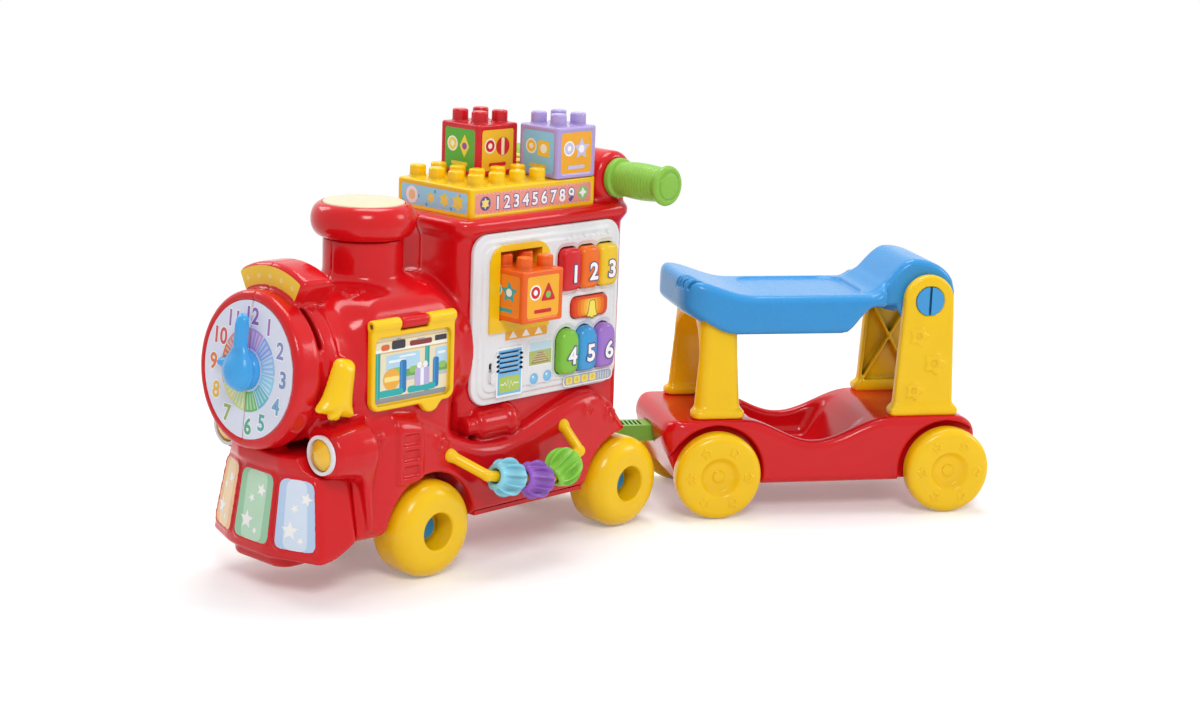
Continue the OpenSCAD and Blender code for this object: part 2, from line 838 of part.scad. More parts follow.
// The pan that closes the underside, and its screws
module floor_pan()
    color(red) loco() difference() {
        slab(bay_x0, bay_x1, -chassis_half + wall + fit, chassis_half - wall - fit,
            chassis_z + fit, chassis_z + fit + pan_t);
        both_sides() for (x = [bay_x0 + boss_gap, bay_x1 - boss_gap]) {
            post(x, boss_y, chassis_z - over, chassis_z + 2 * pan_t, screw_r + run);
            post(x, boss_y, chassis_z - over, chassis_z + pan_t / 2, screw_head_r + fit);
        }
    }
module pan_screws()
    color(steel) loco() both_sides() for (x = [bay_x0 + boss_gap, bay_x1 - boss_gap]) {
        post(x, boss_y, chassis_z + fit, chassis_z + screw_l, screw_r);
        post(x, boss_y, chassis_z + fit, chassis_z + pan_t / 2 - fit / 2, screw_head_r);
    }

// Chimney ring with the cream press pad in its mouth
module chimney_ring()
    color(red) loco() translate([chimney_x, 0, 0]) rotate_extrude() difference() {
        union() {
            box2(0, neck_r, ring_z0 + fit, ring_z1 - drum_t);
            round2(neck_r / 2, chimney_r, ring_z0 + fit, ring_z1, rim_round);
        }
        box2(0, drum_r + fit, ring_z1 - drum_t - 2 * drum_press, ring_z1 + over);
        box2(0, drum_stem_r + fit, ring_z0, ring_z1);
        box2(-neck_r, 0, ring_z0, ring_z1 + over);
    }
module drum_top()
    color(cream) loco() translate([chimney_x, 0, 0]) {
        post(0, 0, ring_z1 - drum_t, ring_z1 + drum_proud, drum_r);
        post(0, 0, ring_z1 - drum_t - drum_stem_l, ring_z1 - drum_t + over, drum_stem_r);
    }

// Clock: a printed dial in two halves, a spindle and two hands that turn on it
module clock_dial()
    color(white) loco() on_clock() translate([0, 0, fit]) difference() {
        cylinder(r = dial_r, h = dial_t);
        translate([0, 0, -over]) cylinder(r = spindle_r + run, h = dial_t + 2 * over);
        translate([-dial_r - over, -seam, -over]) cube([2 * (dial_r + over), 2 * seam, dial_t + 2 * over]);
    }
module clock_spindle()
    color(steel) loco() on_clock() translate([0, 0, -bezel_l - wall])
        cylinder(r = spindle_r, h = bezel_l + wall + 2 * hand_t + dial_t + spindle_out);
module hand(l, w, r, z)
    difference() {
        translate([0, 0, z]) linear_extrude(hand_t) {
            circle(r);
            translate([0, -w]) square([l - w, 2 * w]);
            translate([l - w, 0]) circle(w);
        }
        cylinder(r = spindle_r + run, h = z + 2 * hand_t);
    }
module hour_hand()
    color(blue) loco() on_clock() rotate([0, 0, 90])
        hand(hour_l, hand_w, hub_out_r, dial_t + 2 * fit);
module minute_hand()
    color(blue) loco() on_clock()
        hand(minute_l, hand_w, hub_out_r, dial_t + 3 * fit + hand_t);

// Headlamps
module lamp_rings()
    color(white) loco() both_sides() difference() {
        bar_x(lamp_x - fit - lamp_ring_t, lamp_x - fit, lamp_y, lamp_z, lamp_ring_r);
        bar_x(lamp_x - lamp_ring_t - over, lamp_x, lamp_y, lamp_z, lamp_ring_r - lamp_ring_w);
    }
module lamp_lenses()
    color(yellow) loco() both_sides() {
        r = lamp_ring_r - lamp_ring_w - fit;
        ball = (pow(r, 2) + pow(lamp_dome, 2)) / (2 * lamp_dome);
        intersection() {
            translate([lamp_x - fit - lamp_dome + ball, lamp_y, lamp_z]) sphere(ball);
            bar_x(lamp_x - 2 * lamp_dome, lamp_x - fit, lamp_y, lamp_z, r);
        }
    }

// A bell that swings on a stud at each side of the boiler
function bell_line(side) = [for (p = bell_shares)
    [side * p[1] * bell_low_r, (bell_crown_share - p[0]) * bell_h]];
module bell()
    difference() {
        translate([bell_x, 0, bell_z]) rotate([0, bell_lean, 0]) across(bell_y0, bell_y0 + bell_t)
            polygon(concat(bell_line(1), [for (i = [len(bell_shares) - 1 : -1 : 0]) bell_line(-1)[i]]));
        bar_y(bell_x, bell_y0 - over, bell_y0 + bell_t + over, bell_z, bell_pin_r + run);
    }
module bell_right()
    color(yellow) loco() mirror([0, 1, 0]) bell();
module bell_left()
    color(yellow) loco() bell();

// Side door that lifts on two barrels and a steel pin
module side_door()
    color(yellow) loco() difference() {
        union() {
            across(-hinge_y + door_back - door_t, -hinge_y + door_back) {
                round2(door_x0, door_x1, hinge_z - door_h, hinge_z, door_bead);
                disc2(door_tab_x, hinge_z - door_h + door_tab_up, door_tab_r);
            }
            bar_x(door_x0, door_x1, -hinge_y, hinge_z, barrel_r);
        }
        across(-hinge_y - door_t, -hinge_y + door_back - door_panel_t)
            round2(door_x0 + door_bead, door_x1 - door_bead, hinge_z - door_h + door_bead,
                hinge_z - 2 * barrel_r, door_bead);
        bar_x(door_x0 - over, door_x1 + over, -hinge_y, hinge_z, door_pin_r + run);
        slab(knuckle_x0 - 2 * fit, knuckle_x1 + 2 * fit, -hinge_y - 2 * barrel_r, -saddle_half + wall,
            hinge_z - barrel_r - over, hinge_z + 2 * barrel_r);
    }
module door_pin()
    color(steel) loco() bar_x(door_x0 + door_pin_in, door_x1 - door_pin_in, -hinge_y, hinge_z, door_pin_r);

// Activity panel with its keys, dock, slider and the parts behind it
module key_2d(x, z, w, h, r)
    round2(x - w / 2, x + w / 2, z - h / 2, z + h / 2, r);
module key_window(x, z, w, h)
    across(-panel_face - over, -skin_back + over)
        round2(x - w / 2 - key_gap, x + w / 2 + key_gap, z - h / 2 - key_gap, z + h / 2 + key_gap, key_round);
module activity_panel()
    color(white) loco() {
        board_posts();
        panel_plate();
    }
module panel_plate()
    difference() {
        union() {
            across(-panel_back - rim_t, -panel_back)
                round2(panel_x0, panel_x1, panel_z0, panel_z1, panel_round);
            across(-panel_face, -panel_back)
                round2(panel_x0 + panel_rim, panel_x1 - panel_rim, panel_z0 + panel_rim, panel_z1 - panel_rim,
                    panel_round - panel_rim);
        }
        across(-skin_back, -panel_back + over)
            box2(panel_x0 + window_in, panel_x1 - window_in, panel_z0 + window_in, panel_z1 - window_in);
        key_window(keys_x, top_row_z, 2 * key_pitch + key_w, top_key_h);
        key_window(keys_x, low_row_z, 2 * key_pitch + key_w, low_key_h);
        key_window(bell_key_x, bell_key_z, bell_key_w, bell_key_h);
        across(-panel_face - over, -skin_back + over)
            box2(slider_x - slider_w / 2 - key_gap, slider_x + slider_w / 2 + key_gap,
                slider_z - slider_h / 2 - key_gap, slider_z + slider_h / 2 + slider_play + key_gap);
        for (i = [0 : slots - 1])
            across(-panel_face - over, -skin_back + over)
                translate([speaker_x, speaker_z + (i - (slots - 1) / 2) * slot_pitch])
                    square([slot_w, slot_h], center = true);
        across(-panel_face - over, -panel_back + over) dock_2d(dock_wall + fit);
    }
module board_posts()
    for (x = [keys_x - board_half_w + board_post_r, keys_x + board_half_w - board_post_r],
         z = [board_z0 + board_post_r, board_z1 - board_post_r])
        bar_y(x, -skin_back - over, -board_y - fit, z, board_post_r);
module circuit_board()
    color(green) loco()
        slab(keys_x - board_half_w, keys_x + board_half_w, -board_y, -board_y + board_t, board_z0, board_z1);
module number_key(col, z, h, r)
    loco() translate([keys_x + col * key_pitch, 0, 0]) {
        across(-panel_face - key_out, -skin_back + fit + flange_t) key_2d(0, z, key_w, h, r);
        across(-skin_back + fit, -skin_back + fit + flange_t)
            box2(-key_w / 2 + key_round, key_w / 2 - key_round, z - h / 2 - flange, z + h / 2 + flange);
    }
module key_1() color(red) number_key(-1, top_row_z, top_key_h, key_round);
module key_2() color(orange) number_key(0, top_row_z, top_key_h, key_round);
module key_3() color(yellow) number_key(1, top_row_z, top_key_h, key_round);
module key_4() color(green) number_key(-1, low_row_z, low_key_h, key_round);
module key_5() color(blue) number_key(0, low_row_z, low_key_h, key_round);
module key_6() color(purple) number_key(1, low_row_z, low_key_h, key_round);
module bell_key()
    color(orange) loco() {
        across(-panel_face - bell_key_out, -skin_back + fit + flange_t)
            key_2d(bell_key_x, bell_key_z, bell_key_w, bell_key_h, key_round);
        across(-skin_back + fit, -skin_back + fit + flange_t)
            box2(bell_key_x - bell_key_w / 2 + key_round, bell_key_x + bell_key_w / 2 - key_round,
                bell_key_z - bell_key_h / 2 - flange / 2, bell_key_z + bell_key_h / 2 + flange / 2);
    }
module mode_slider()
    color(white) loco() {
        across(-panel_face - slider_out, -skin_back + fit + flange_t)
            key_2d(slider_x, slider_z, slider_w, slider_h, slider_w / 3);
        across(-skin_back + fit, -skin_back + fit + flange_t)
            key_2d(slider_x, slider_z, slider_w + flange, slider_h + 2 * flange, flange);
    }
module speaker()
    color(dark) loco() {
        bar_y(speaker_x, -skin_back + fit, -skin_back + fit + flange_t, speaker_z, speaker_r);
        bar_y(speaker_x, -skin_back + fit, -skin_back + fit + speaker_t, speaker_z, speaker_cone_r);
    }
module dock_2d(grow)
    box2(dock_x - block_half - dock_play - grow, dock_x + block_half + dock_play + grow,
        dock_z - dock_play - grow, dock_z + block_h + dock_top + grow);
module dock_liner()
    color(yellow) loco() difference() {
        union() {
            across(-panel_face - fit - dock_t, -panel_face - fit)
                arch2(dock_x - block_half - dock_trim, dock_x + block_half + dock_trim,
                    dock_z - dock_trim, dock_z + block_h + dock_top + dock_trim / 2, panel_round);
            across(-panel_face - fit - dock_t, -panel_face + dock_depth + dock_wall) dock_2d(dock_wall);
        }
        across(-panel_face - 2 * dock_t, -panel_face + dock_depth) dock_2d(0);
    }

// Batteries behind the far side of the cab
module battery_tray()
    color(dark) loco() difference() {
        slab(tray_x - cell_l / 2 - tray_wall - fit, tray_x + cell_l / 2 + tray_wall + fit,
            cab_half - 2 * wall - 2 * cell_r, cab_half - wall - fit,
            tray_z - cells * cell_pitch / 2 - tray_wall, tray_z + cells * cell_pitch / 2 + tray_wall);
        slab(tray_x - cell_l / 2 - fit, tray_x + cell_l / 2 + fit,
            cab_half - wall - 2 * cell_r - fit, cab_half,
            tray_z - cells * cell_pitch / 2, tray_z + cells * cell_pitch / 2);
    }
module battery_cells()
    color(steel) loco() for (i = [0 : cells - 1])
        bar_x(tray_x - cell_l / 2, tray_x + cell_l / 2, cab_half - wall - cell_r,
            tray_z + (i - (cells - 1) / 2) * cell_pitch, cell_r);
module battery_cover()
    color(red) loco()
        across(cab_half + fit, cab_half + fit + cover_t)
            round2(tray_x - cover_w / 2, tray_x + cover_w / 2,
                tray_z - cover_h / 2, tray_z + cover_h / 2, cover_lip);

// Stud plate on the roof, and the three blocks it and the dock carry
module studs(x0, y0, z, cols, rows)
    for (i = [0 : cols - 1], j = [0 : rows - 1])
        post(x0 + i * stud_pitch, y0 + j * stud_pitch, z - over, z + stud_h, stud_r);
module stud_plate()
    color(yellow) loco() {
        difference() {
            slab(plate_x0, plate_x1, -plate_half, plate_half, plate_z, stud_z);
            slab(plate_x0 + wall, plate_x1 - wall, -plate_half + wall, plate_half - wall,
                plate_z - over, stud_z - wall);
        }
        studs(plate_x0 + stud_margin_x, -plate_half + stud_margin_y, stud_z, stud_cols, stud_rows);
    }
module block() {
    difference() {
        slab(-block_half, block_half, -block_half, block_half, 0, block_h);
        slab(-block_in, block_in, -block_in, block_in, -over, block_h - wall);
    }
    studs(-stud_pitch / 2, -stud_pitch / 2, block_h, 2, 2);
}
module block_red()
    color(red) loco()
        translate([plate_x0 + stud_margin_x + 5 * stud_pitch / 2, stud_pitch, stud_z + fit]) block();
module block_purple()
    color(purple) loco()
        translate([plate_x0 + stud_margin_x + 9 * stud_pitch / 2, -stud_pitch, stud_z + fit]) block();
module block_orange()
    color(orange) loco()
        translate([dock_x, -panel_face + dock_depth - dock_play - block_half, dock_z]) block();

// Soft grips on the stubs of the handle
module grips()
    color(green) loco() both_sides() translate([handle_x, hub_half + fit, handle_z]) rotate([-90, 0, 0])
        rotate_extrude() difference() {
            union() {
                box2(0, grip_r, 0, grip_l);
                round2(grip_r / 2, grip_end_r, 0, grip_end_l, grip_lip);
                round2(grip_r / 2, grip_end_r, grip_l - grip_end_l, grip_l, grip_lip);
            }
            box2(-over, stub_r + fit, -over, stub_l + fit);
        }

// Bead rod on the running board, with three fluted beads
module bead_rod()
    color(yellow) loco() difference() {
        union() {
            rod_part(rod_a, rod_b, rod_r);
            rod_part(rod_b, rod_c, rod_r);
            rod_part(rod_c, rod_d, rod_r);
            rod_part(rod_d, rod_e, rod_r);
            for (p = [rod_b, rod_c, rod_d])
                translate(p) sphere(rod_r + elbow);
        }
        slab(-big, big, -chassis_half - fit, big, 0, big);
    }
module bead(a, b, share) {
    d = b - a;
    translate(mix(a, b, share)) rotate([0, acos(d[2] / norm(d)), atan2(d[1], d[0])]) difference() {
        intersection() {
            sphere(bead_r);
            cylinder(r = bead_r, h = bead_l, center = true);
        }
        cylinder(r = rod_r + run, h = 2 * bead_r, center = true);
        for (i = [0 : bead_ribs - 1])
            rotate([0, 0, 360 / bead_ribs * i]) translate([bead_r + rib_out, 0, 0])
                cylinder(r = rib_r, h = 2 * bead_r, center = true);
    }
}
module bead_1() color(blue) loco() bead(rod_b, rod_c, bead_1_share);
module bead_2() color(purple) loco() bead(rod_b, rod_c, bead_2_share);
module bead_3() color(green) loco() bead(rod_c, rod_d, bead_3_share);

// Hitch pin, axles, caps and wheels of the locomotive
module hitch_pin()
    color(steel) loco() {
        post(0, 0, chassis_z + wall, bar_z0 + bar_t + fit + pin_head_t, pin_r);
        post(0, 0, bar_z0 + bar_t + fit, bar_z0 + bar_t + fit + pin_head_t, pin_head_r);
    }
module loco_axles()
    color(steel) loco() for (x = [front_axle_x, rear_axle_x])
        bar_y(x, -axle_half, axle_half, wheel_z, axle_r);
module axle_caps()
    color(blue) loco() both_sides() for (x = [front_axle_x, rear_axle_x]) difference() {
        bar_y(x, tread_y0 + loco_wheel_w - cup_depth + fit, tread_y0 + loco_wheel_w - cup_depth + cap_t,
            wheel_z, cap_r);
        bar_y(x, 0, axle_half + fit, wheel_z, axle_r + run);
    }
module loco_wheel(x)
    translate([x, tread_y0, wheel_z]) rotate([-90, 0, 0]) rotate_extrude() difference() {
        round2(-loco_wheel_r, loco_wheel_r, 0, loco_wheel_w, tread_round);
        box2(-loco_wheel_r - over, axle_r + run, -over, loco_wheel_w + over);
        box2(0, cup_r, loco_wheel_w - cup_depth, loco_wheel_w + over);
    }
module wheel_fr() color(yellow) loco() mirror([0, 1, 0]) loco_wheel(front_axle_x);
module wheel_fl() color(yellow) loco() loco_wheel(front_axle_x);
module wheel_rr() color(yellow) loco() mirror([0, 1, 0]) loco_wheel(rear_axle_x);
module wheel_rl() color(yellow) loco() loco_wheel(rear_axle_x);

// Wagon: an open tray on four wheels
module wagon_side2() {
    line = [for (i = [0 : deck_n]) let (s = mix(wnose + prow_r, wtail, i / deck_n))
        [s, deck_top(s) - tail_top(s)]];
    polygon(concat([[wnose + nose_slope, wagon_z], [wnose, nose_step_z]], line,
        [[wtail, wagon_z + prow_r], [wtail - prow_r, wagon_z]]));
}
function tray_line(s0, s1, d) =
    [for (i = [0 : tray_n]) let (s = mix(s0, s1, i / tray_n)) [s, tray_line_z(s) - d]];
module wagon_bays(grow, y0)
    both_sides() for (s = [wax_f, wax_r])
        bar_y(s, y0, wagon_half + over, wagon_wheel_r, wagon_arch_r + grow);
module wagon_body()
    color(red) wagon() difference() {
        intersection() {
            across(-wagon_half, wagon_half) wagon_side2();
            linear_extrude(deck_z + over) round2(wnose, wtail, -wagon_half, wagon_half, wagon_round);
        }
        wagon_bays(0, arch_wall_y);
        intersection() {
            across(-tray_half, tray_half)
                polygon(concat(tray_line(tray_s0, tray_s1, 0),
                    [[tray_s1, 2 * deck_z], [tray_s0, 2 * deck_z]]));
            along(tray_s0, tray_s1) round2(-tray_half, tray_half, tray_floor, 2 * deck_z, tray_round);
        }
        across(-tray_half + wall, tray_half - wall)
            polygon(concat(tray_line(tray_s0, tray_s1, floor_t),
                [[tray_s1, wagon_z - over], [tray_s0, wagon_z - over]]));
        difference() {
            union() {
                slab(hold_f0, tray_s0 - wall, -tray_half, tray_half, wagon_z - over, deck_z - hold_top);
                slab(tray_s1 + wall, wtail - tail_fall, -tray_half, tray_half,
                    wagon_z - over, deck_z - hold_top);
            }
            wagon_bays(wall, arch_wall_y - wall);
        }
        for (s = [wax_f, wax_r])
            bar_y(s, -wagon_half, wagon_half, wagon_wheel_r, axle_r + run);
        slab(0, hold_f0 + over, -bar_half - fit, bar_half + fit, bar_z0 - fit, bar_z0 + bar_t + fit);
    }
module drawbar()
    color(green) wagon() difference() {
        union() {
            post(0, 0, bar_z0, bar_z0 + bar_t, eye_r);
            slab(0, bar_end, -bar_half, bar_half, bar_z0, bar_z0 + bar_t);
        }
        post(0, 0, bar_z0 - over, bar_z0 + bar_t + over, pin_r + run);
        for (i = [0 : rib_slots - 1])
            slab(eye_r + 2 * i * rib_slot_w, eye_r + (2 * i + 1) * rib_slot_w, -rib_slot_half, rib_slot_half,
                bar_z0 + bar_t - rib_slot_t, bar_z0 + bar_t + over);
    }
module front_arch()
    color(yellow) wagon() {
        difference() {
            intersection() {
                along(arch_s0, arch_s1)
                    polygon([[-arch_half, deck_z + fit], [arch_half, deck_z + fit],
                        [arch_top_half, arch_top], [-arch_top_half, arch_top]]);
                across(-arch_half, arch_half)
                    polygon([[arch_s0, deck_z + fit], [arch_s1, deck_z + fit],
                        [arch_s1 - arch_lean, arch_top], [arch_s0 + arch_lean, arch_top]]);
            }
            along(arch_s0 - over, arch_s1 + over)
                arch2(-arch_half + arch_leg, arch_half - arch_leg, deck_z - over,
                    arch_top - arch_beam, arch_bend);
        }
        both_sides() slab(arch_s0 - base_lip, arch_s1 + base_lip, arch_half - arch_leg - base_lip,
            arch_half + base_lip, deck_z + fit, deck_z + fit + base_t);
    }
module post_2d(d) {
    disc2(pivot_s, pivot_z, post_r - d);
    polygon([[pivot_s - post_r - post_lean + d, deck_z + fit],
        [pivot_s + post_r + post_lean - d, deck_z + fit],
        [pivot_s + post_r - d, pivot_z], [pivot_s - post_r + d, pivot_z]]);
}
module rear_posts()
    color(yellow) wagon() both_sides() difference() {
        union() {
            across(post_y0, post_y1) post_2d(0);
            slab(pivot_s - post_r - post_lean - base_lip, pivot_s + post_r + post_lean + base_lip,
                post_y0, post_y1 + base_lip, deck_z + fit, deck_z + fit + base_t);
        }
        bar_y(pivot_s, post_y0 - over, post_y1 + over, pivot_z, seat_pin_r + run);
        difference() {
            across(post_y0 - over, post_y1 - post_floor) difference() {
                post_2d(post_rib);
                disc2(pivot_s, pivot_z, seat_pin_r + 2 * post_rib);
                box2(wax_f, wtail, 0, deck_z + base_t + post_rib);
            }
            across(post_y0, post_y1) {
                m = (pivot_z + deck_z) / 2;
                for (a = [-60, 60])
                    translate([pivot_s, m]) rotate(a) square([pivot_z, post_rib], center = true);
            }
        }
    }

// Lifting seat: a blue saddle hollow underneath, on two slotted pivot pins
function seat_line(s0, s1, d) =
    [for (i = [0 : seat_n]) let (s = mix(s0, s1, i / seat_n)) [s, seat_top(s) - d]];
function seat_under(s0, s1) =
    [for (i = [seat_n : -1 : 0]) let (s = mix(s0, s1, i / seat_n))
        [s, min(seat_low(s), seat_top(s) - seat_wall)]];
module seat()
    color(blue) wagon() {
        difference() {
            union() {
                intersection() {
                    across(-seat_half, seat_half)
                        polygon(concat(seat_line(seat_s0, seat_wide_s, 0), seat_under(seat_s0, seat_wide_s)));
                    linear_extrude(2 * seat_z) round2(seat_s0, seat_s1, -seat_half, seat_half, seat_plan_r);
                }
                across(-seat_rear_half, seat_rear_half) {
                    polygon(concat(seat_line(seat_wide_s - over, seat_s1, 0),
                        seat_under(seat_wide_s - over, seat_s1)));
                    disc2(pivot_s, pivot_z, seat_back);
                }
            }
            intersection() {
                across(-seat_half + seat_wall, seat_half - seat_wall)
                    polygon(concat(seat_line(seat_s0 + seat_in, seat_wide_s - seat_wall, seat_wall),
                        [[seat_wide_s - seat_wall, dip_z], [seat_s0 + seat_in, dip_z]]));
                linear_extrude(2 * seat_z)
                    round2(seat_s0 + seat_in, seat_s1, -seat_half + seat_wall,
                        seat_half - seat_wall, seat_room_r);
            }
            across(-seat_rear_half + seat_wall, seat_rear_half - seat_wall)
                polygon(concat(seat_line(seat_wide_s - 2 * seat_wall, seat_s1 - seat_wall, seat_wall),
                    [[seat_s1 - seat_wall, dip_z], [seat_wide_s - 2 * seat_wall, dip_z]]));
        }
        slab(rest_s0, rest_s1, -seat_half + over, seat_half - over, arch_top + fit, seat_z);
    }
module seat_pins()
    color(blue) wagon() both_sides() difference() {
        bar_y(pivot_s, seat_rear_half + fit / 3, post_y1 + fit, pivot_z, seat_pin_r);
        slab(pivot_s - pin_slot / 2, pivot_s + pin_slot / 2, post_y1 - pin_slot_t, post_y1 + over,
            pivot_z - seat_pin_r, pivot_z + seat_pin_r);
    }
module wagon_axles()
    color(steel) wagon() for (s = [wax_f, wax_r])
        bar_y(s, -wagon_axle_half, wagon_axle_half, wagon_wheel_r, axle_r);
module wagon_wheel(s)
    translate([s, wheel_y0, wagon_wheel_r]) rotate([-90, 0, 0]) rotate_extrude() difference() {
        round2(-wagon_wheel_r, wagon_wheel_r, 0, wagon_wheel_w, wagon_wheel_w / 3);
        box2(-wagon_wheel_r - over, 0, -over, wagon_wheel_w + over);
        box2(0, axle_r + run, -over, axle_in_share * wagon_wheel_w + fit);
        box2(0, wagon_wheel_r / 3, dish_share * wagon_wheel_w, wagon_wheel_w + over);
    }
module wagon_wheel_fr() color(yellow) wagon() mirror([0, 1, 0]) wagon_wheel(wax_f);
module wagon_wheel_fl() color(yellow) wagon() wagon_wheel(wax_f);
module wagon_wheel_rr() color(yellow) wagon() mirror([0, 1, 0]) wagon_wheel(wax_r);
module wagon_wheel_rl() color(yellow) wagon() wagon_wheel(wax_r);

shell_right();
shell_left();
cowcatcher();
nose_plates();
floor_pan();
pan_screws();
chimney_ring();
drum_top();
clock_dial();
clock_spindle();
minute_hand();
hour_hand();
lamp_rings();
lamp_lenses();
bell_right();
bell_left();
side_door();
door_pin();
activity_panel();
dock_liner();
key_1();
key_2();
key_3();
key_4();
key_5();
key_6();
bell_key();
mode_slider();
circuit_board();
speaker();
battery_tray();
battery_cells();
battery_cover();
stud_plate();
block_red();
block_purple();
block_orange();
grips();
bead_rod();
bead_1();
bead_2();
bead_3();
hitch_pin();
loco_axles();
axle_caps();
wheel_fr();
wheel_fl();
wheel_rr();
wheel_rl();
wagon_body();
drawbar();
front_arch();
rear_posts();
seat();
seat_pins();
wagon_axles();
wagon_wheel_fr();
wagon_wheel_fl();
wagon_wheel_rr();
wagon_wheel_rl();
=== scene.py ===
"""Looks of the ride-on toy train: a red locomotive with an activity side, and the wagon with a lifting seat.
Drawings are in millimetres from the hitch pin, with the nose along -X and the activity side along -Y."""
import functools
import json
import math

import bpy
import numpy as np
import openvdb
from mathutils import Matrix, Vector


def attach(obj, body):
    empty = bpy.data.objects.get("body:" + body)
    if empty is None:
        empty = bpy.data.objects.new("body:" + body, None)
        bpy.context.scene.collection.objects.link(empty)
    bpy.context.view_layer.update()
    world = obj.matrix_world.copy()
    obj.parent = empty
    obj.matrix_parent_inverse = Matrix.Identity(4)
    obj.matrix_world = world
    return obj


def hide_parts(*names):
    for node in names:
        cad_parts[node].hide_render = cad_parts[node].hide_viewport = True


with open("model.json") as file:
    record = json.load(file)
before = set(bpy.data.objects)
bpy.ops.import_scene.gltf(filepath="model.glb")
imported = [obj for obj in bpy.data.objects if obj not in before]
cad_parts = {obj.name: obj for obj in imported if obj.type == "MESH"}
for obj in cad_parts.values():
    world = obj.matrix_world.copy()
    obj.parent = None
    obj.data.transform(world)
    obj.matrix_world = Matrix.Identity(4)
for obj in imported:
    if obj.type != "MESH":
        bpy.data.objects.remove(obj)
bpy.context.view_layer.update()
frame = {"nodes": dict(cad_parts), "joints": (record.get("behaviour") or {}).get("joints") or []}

# Table, light and camera
# A white table in a white room under four soft boxes, as a catalogue picture has them.
# The lens stands ahead of the nose on the activity side, a little above the roof.
joints = {joint["name"]: joint for joint in frame["joints"]}
hitch = Vector(joints["hitch_turn"]["pos_m"])
hitch.z = 0
lens_at = hitch + Vector((-1.6440, -1.5423, 0.6498))
lens_turn = math.radians(-46.68)
lens_rise = math.radians(12.42)
lens_roll = math.radians(2.119)
lens_mm = 69.26
film_mm = 36.0
table_size = 40.0
table_colour = (0.86, 0.86, 0.87, 1)
table_glow = 0.22
lit_r = (0.62, 1.25)
room_light = 0.40
aim_at = (0, 0, 0.15)
boxes = (("key_box", (-1.5, -1.9, 2.2), 0.9, 36), ("top_box", (0.5, 0.4, 2.6), 1.3, 36),
         ("side_box", (1.9, -1.6, 1.3), 0.8, 12), ("back_box", (-0.6, 2.2, 1.8), 1.0, 16))


def link(node_tree, from_socket, to_socket):
    node_tree.links.new(from_socket, to_socket)


def set_inputs(node, values):
    """Sets some of a shader node's inputs, and hands the node back."""
    for socket, value in values.items():
        node.inputs[socket].default_value = value
    return node


def seen_straight(tree):
    """One where the camera, a gloss or a clear piece looks straight at the surface, else zero."""
    path = tree.nodes.new("ShaderNodeLightPath")
    most = path.outputs["Is Camera Ray"]
    for ray in ("Is Glossy Ray", "Is Transmission Ray"):
        bigger = tree.nodes.new("ShaderNodeMath")
        bigger.operation = "MAXIMUM"
        link(tree, most, bigger.inputs[0])
        link(tree, path.outputs[ray], bigger.inputs[1])
        most = bigger.outputs[0]
    return most


world = bpy.data.worlds.new("white_room")
world.use_nodes = True
bpy.context.scene.world = world
sky = world.node_tree
backdrop = set_inputs(sky.nodes["Background"], {"Color": (1, 1, 1, 1)})
lift = set_inputs(sky.nodes.new("ShaderNodeMapRange"), {"To Min": room_light, "To Max": 1.0})
link(sky, seen_straight(sky), lift.inputs["Value"])
link(sky, lift.outputs["Result"], backdrop.inputs["Strength"])

bpy.ops.mesh.primitive_plane_add(size=table_size)
table = bpy.context.object
table.name = "table"
white_table = bpy.data.materials.new("white_table")
white_table.use_nodes = True
paper = white_table.node_tree
sheet = set_inputs(paper.nodes["Principled BSDF"],
                   {"Base Color": table_colour, "Roughness": 0.7, "Specular IOR Level": 0.1,
                    "Emission Color": (1, 1, 1, 1)})
straight = seen_straight(paper)
glow = set_inputs(paper.nodes.new("ShaderNodeMath"), {1: table_glow})
glow.operation = "MULTIPLY"
link(paper, straight, glow.inputs[0])
link(paper, glow.outputs[0], sheet.inputs["Emission Strength"])
spread = paper.nodes.new("ShaderNodeVectorMath")
spread.operation = "LENGTH"
link(paper, paper.nodes.new("ShaderNodeTexCoord").outputs["Object"], spread.inputs[0])
fade = set_inputs(paper.nodes.new("ShaderNodeMapRange"), {"From Min": lit_r[0], "From Max": lit_r[1]})
fade.interpolation_type = "SMOOTHSTEP"
link(paper, spread.outputs["Value"], fade.inputs["Value"])
far_away = paper.nodes.new("ShaderNodeMath")
far_away.operation = "MULTIPLY"
link(paper, straight, far_away.inputs[0])
link(paper, fade.outputs["Result"], far_away.inputs[1])
bright = paper.nodes.new("ShaderNodeEmission")
both = paper.nodes.new("ShaderNodeMixShader")
link(paper, far_away.outputs[0], both.inputs["Fac"])
link(paper, sheet.outputs["BSDF"], both.inputs[1])
link(paper, bright.outputs["Emission"], both.inputs[2])
link(paper, both.outputs["Shader"], paper.nodes["Material Output"].inputs["Surface"])
table.data.materials.append(white_table)

for box_name, place, size, watts in boxes:
    lamp = bpy.data.lights.new(box_name, "AREA")
    lamp.shape = "SQUARE"
    lamp.size = size
    lamp.energy = watts
    holder = bpy.data.objects.new(box_name, lamp)
    holder.location = place
    holder.rotation_euler = (Vector(aim_at) - Vector(place)).to_track_quat("-Z", "Y").to_euler()
    bpy.context.scene.collection.objects.link(holder)

camera = bpy.data.objects.new("camera", bpy.data.cameras.new("camera"))
camera.data.lens = lens_mm
camera.data.sensor_width = film_mm
away = Vector((math.sin(lens_turn) * math.cos(lens_rise), -math.cos(lens_turn) * math.cos(lens_rise),
               math.sin(lens_rise)))
camera.matrix_world = (Matrix.Translation(lens_at) @ away.to_track_quat("Z", "Y").to_matrix().to_4x4()
                       @ Matrix.Rotation(lens_roll, 4, "Z"))
bpy.context.scene.collection.objects.link(camera)
bpy.context.scene.camera = camera
bpy.context.scene.view_settings.view_transform = "Standard"

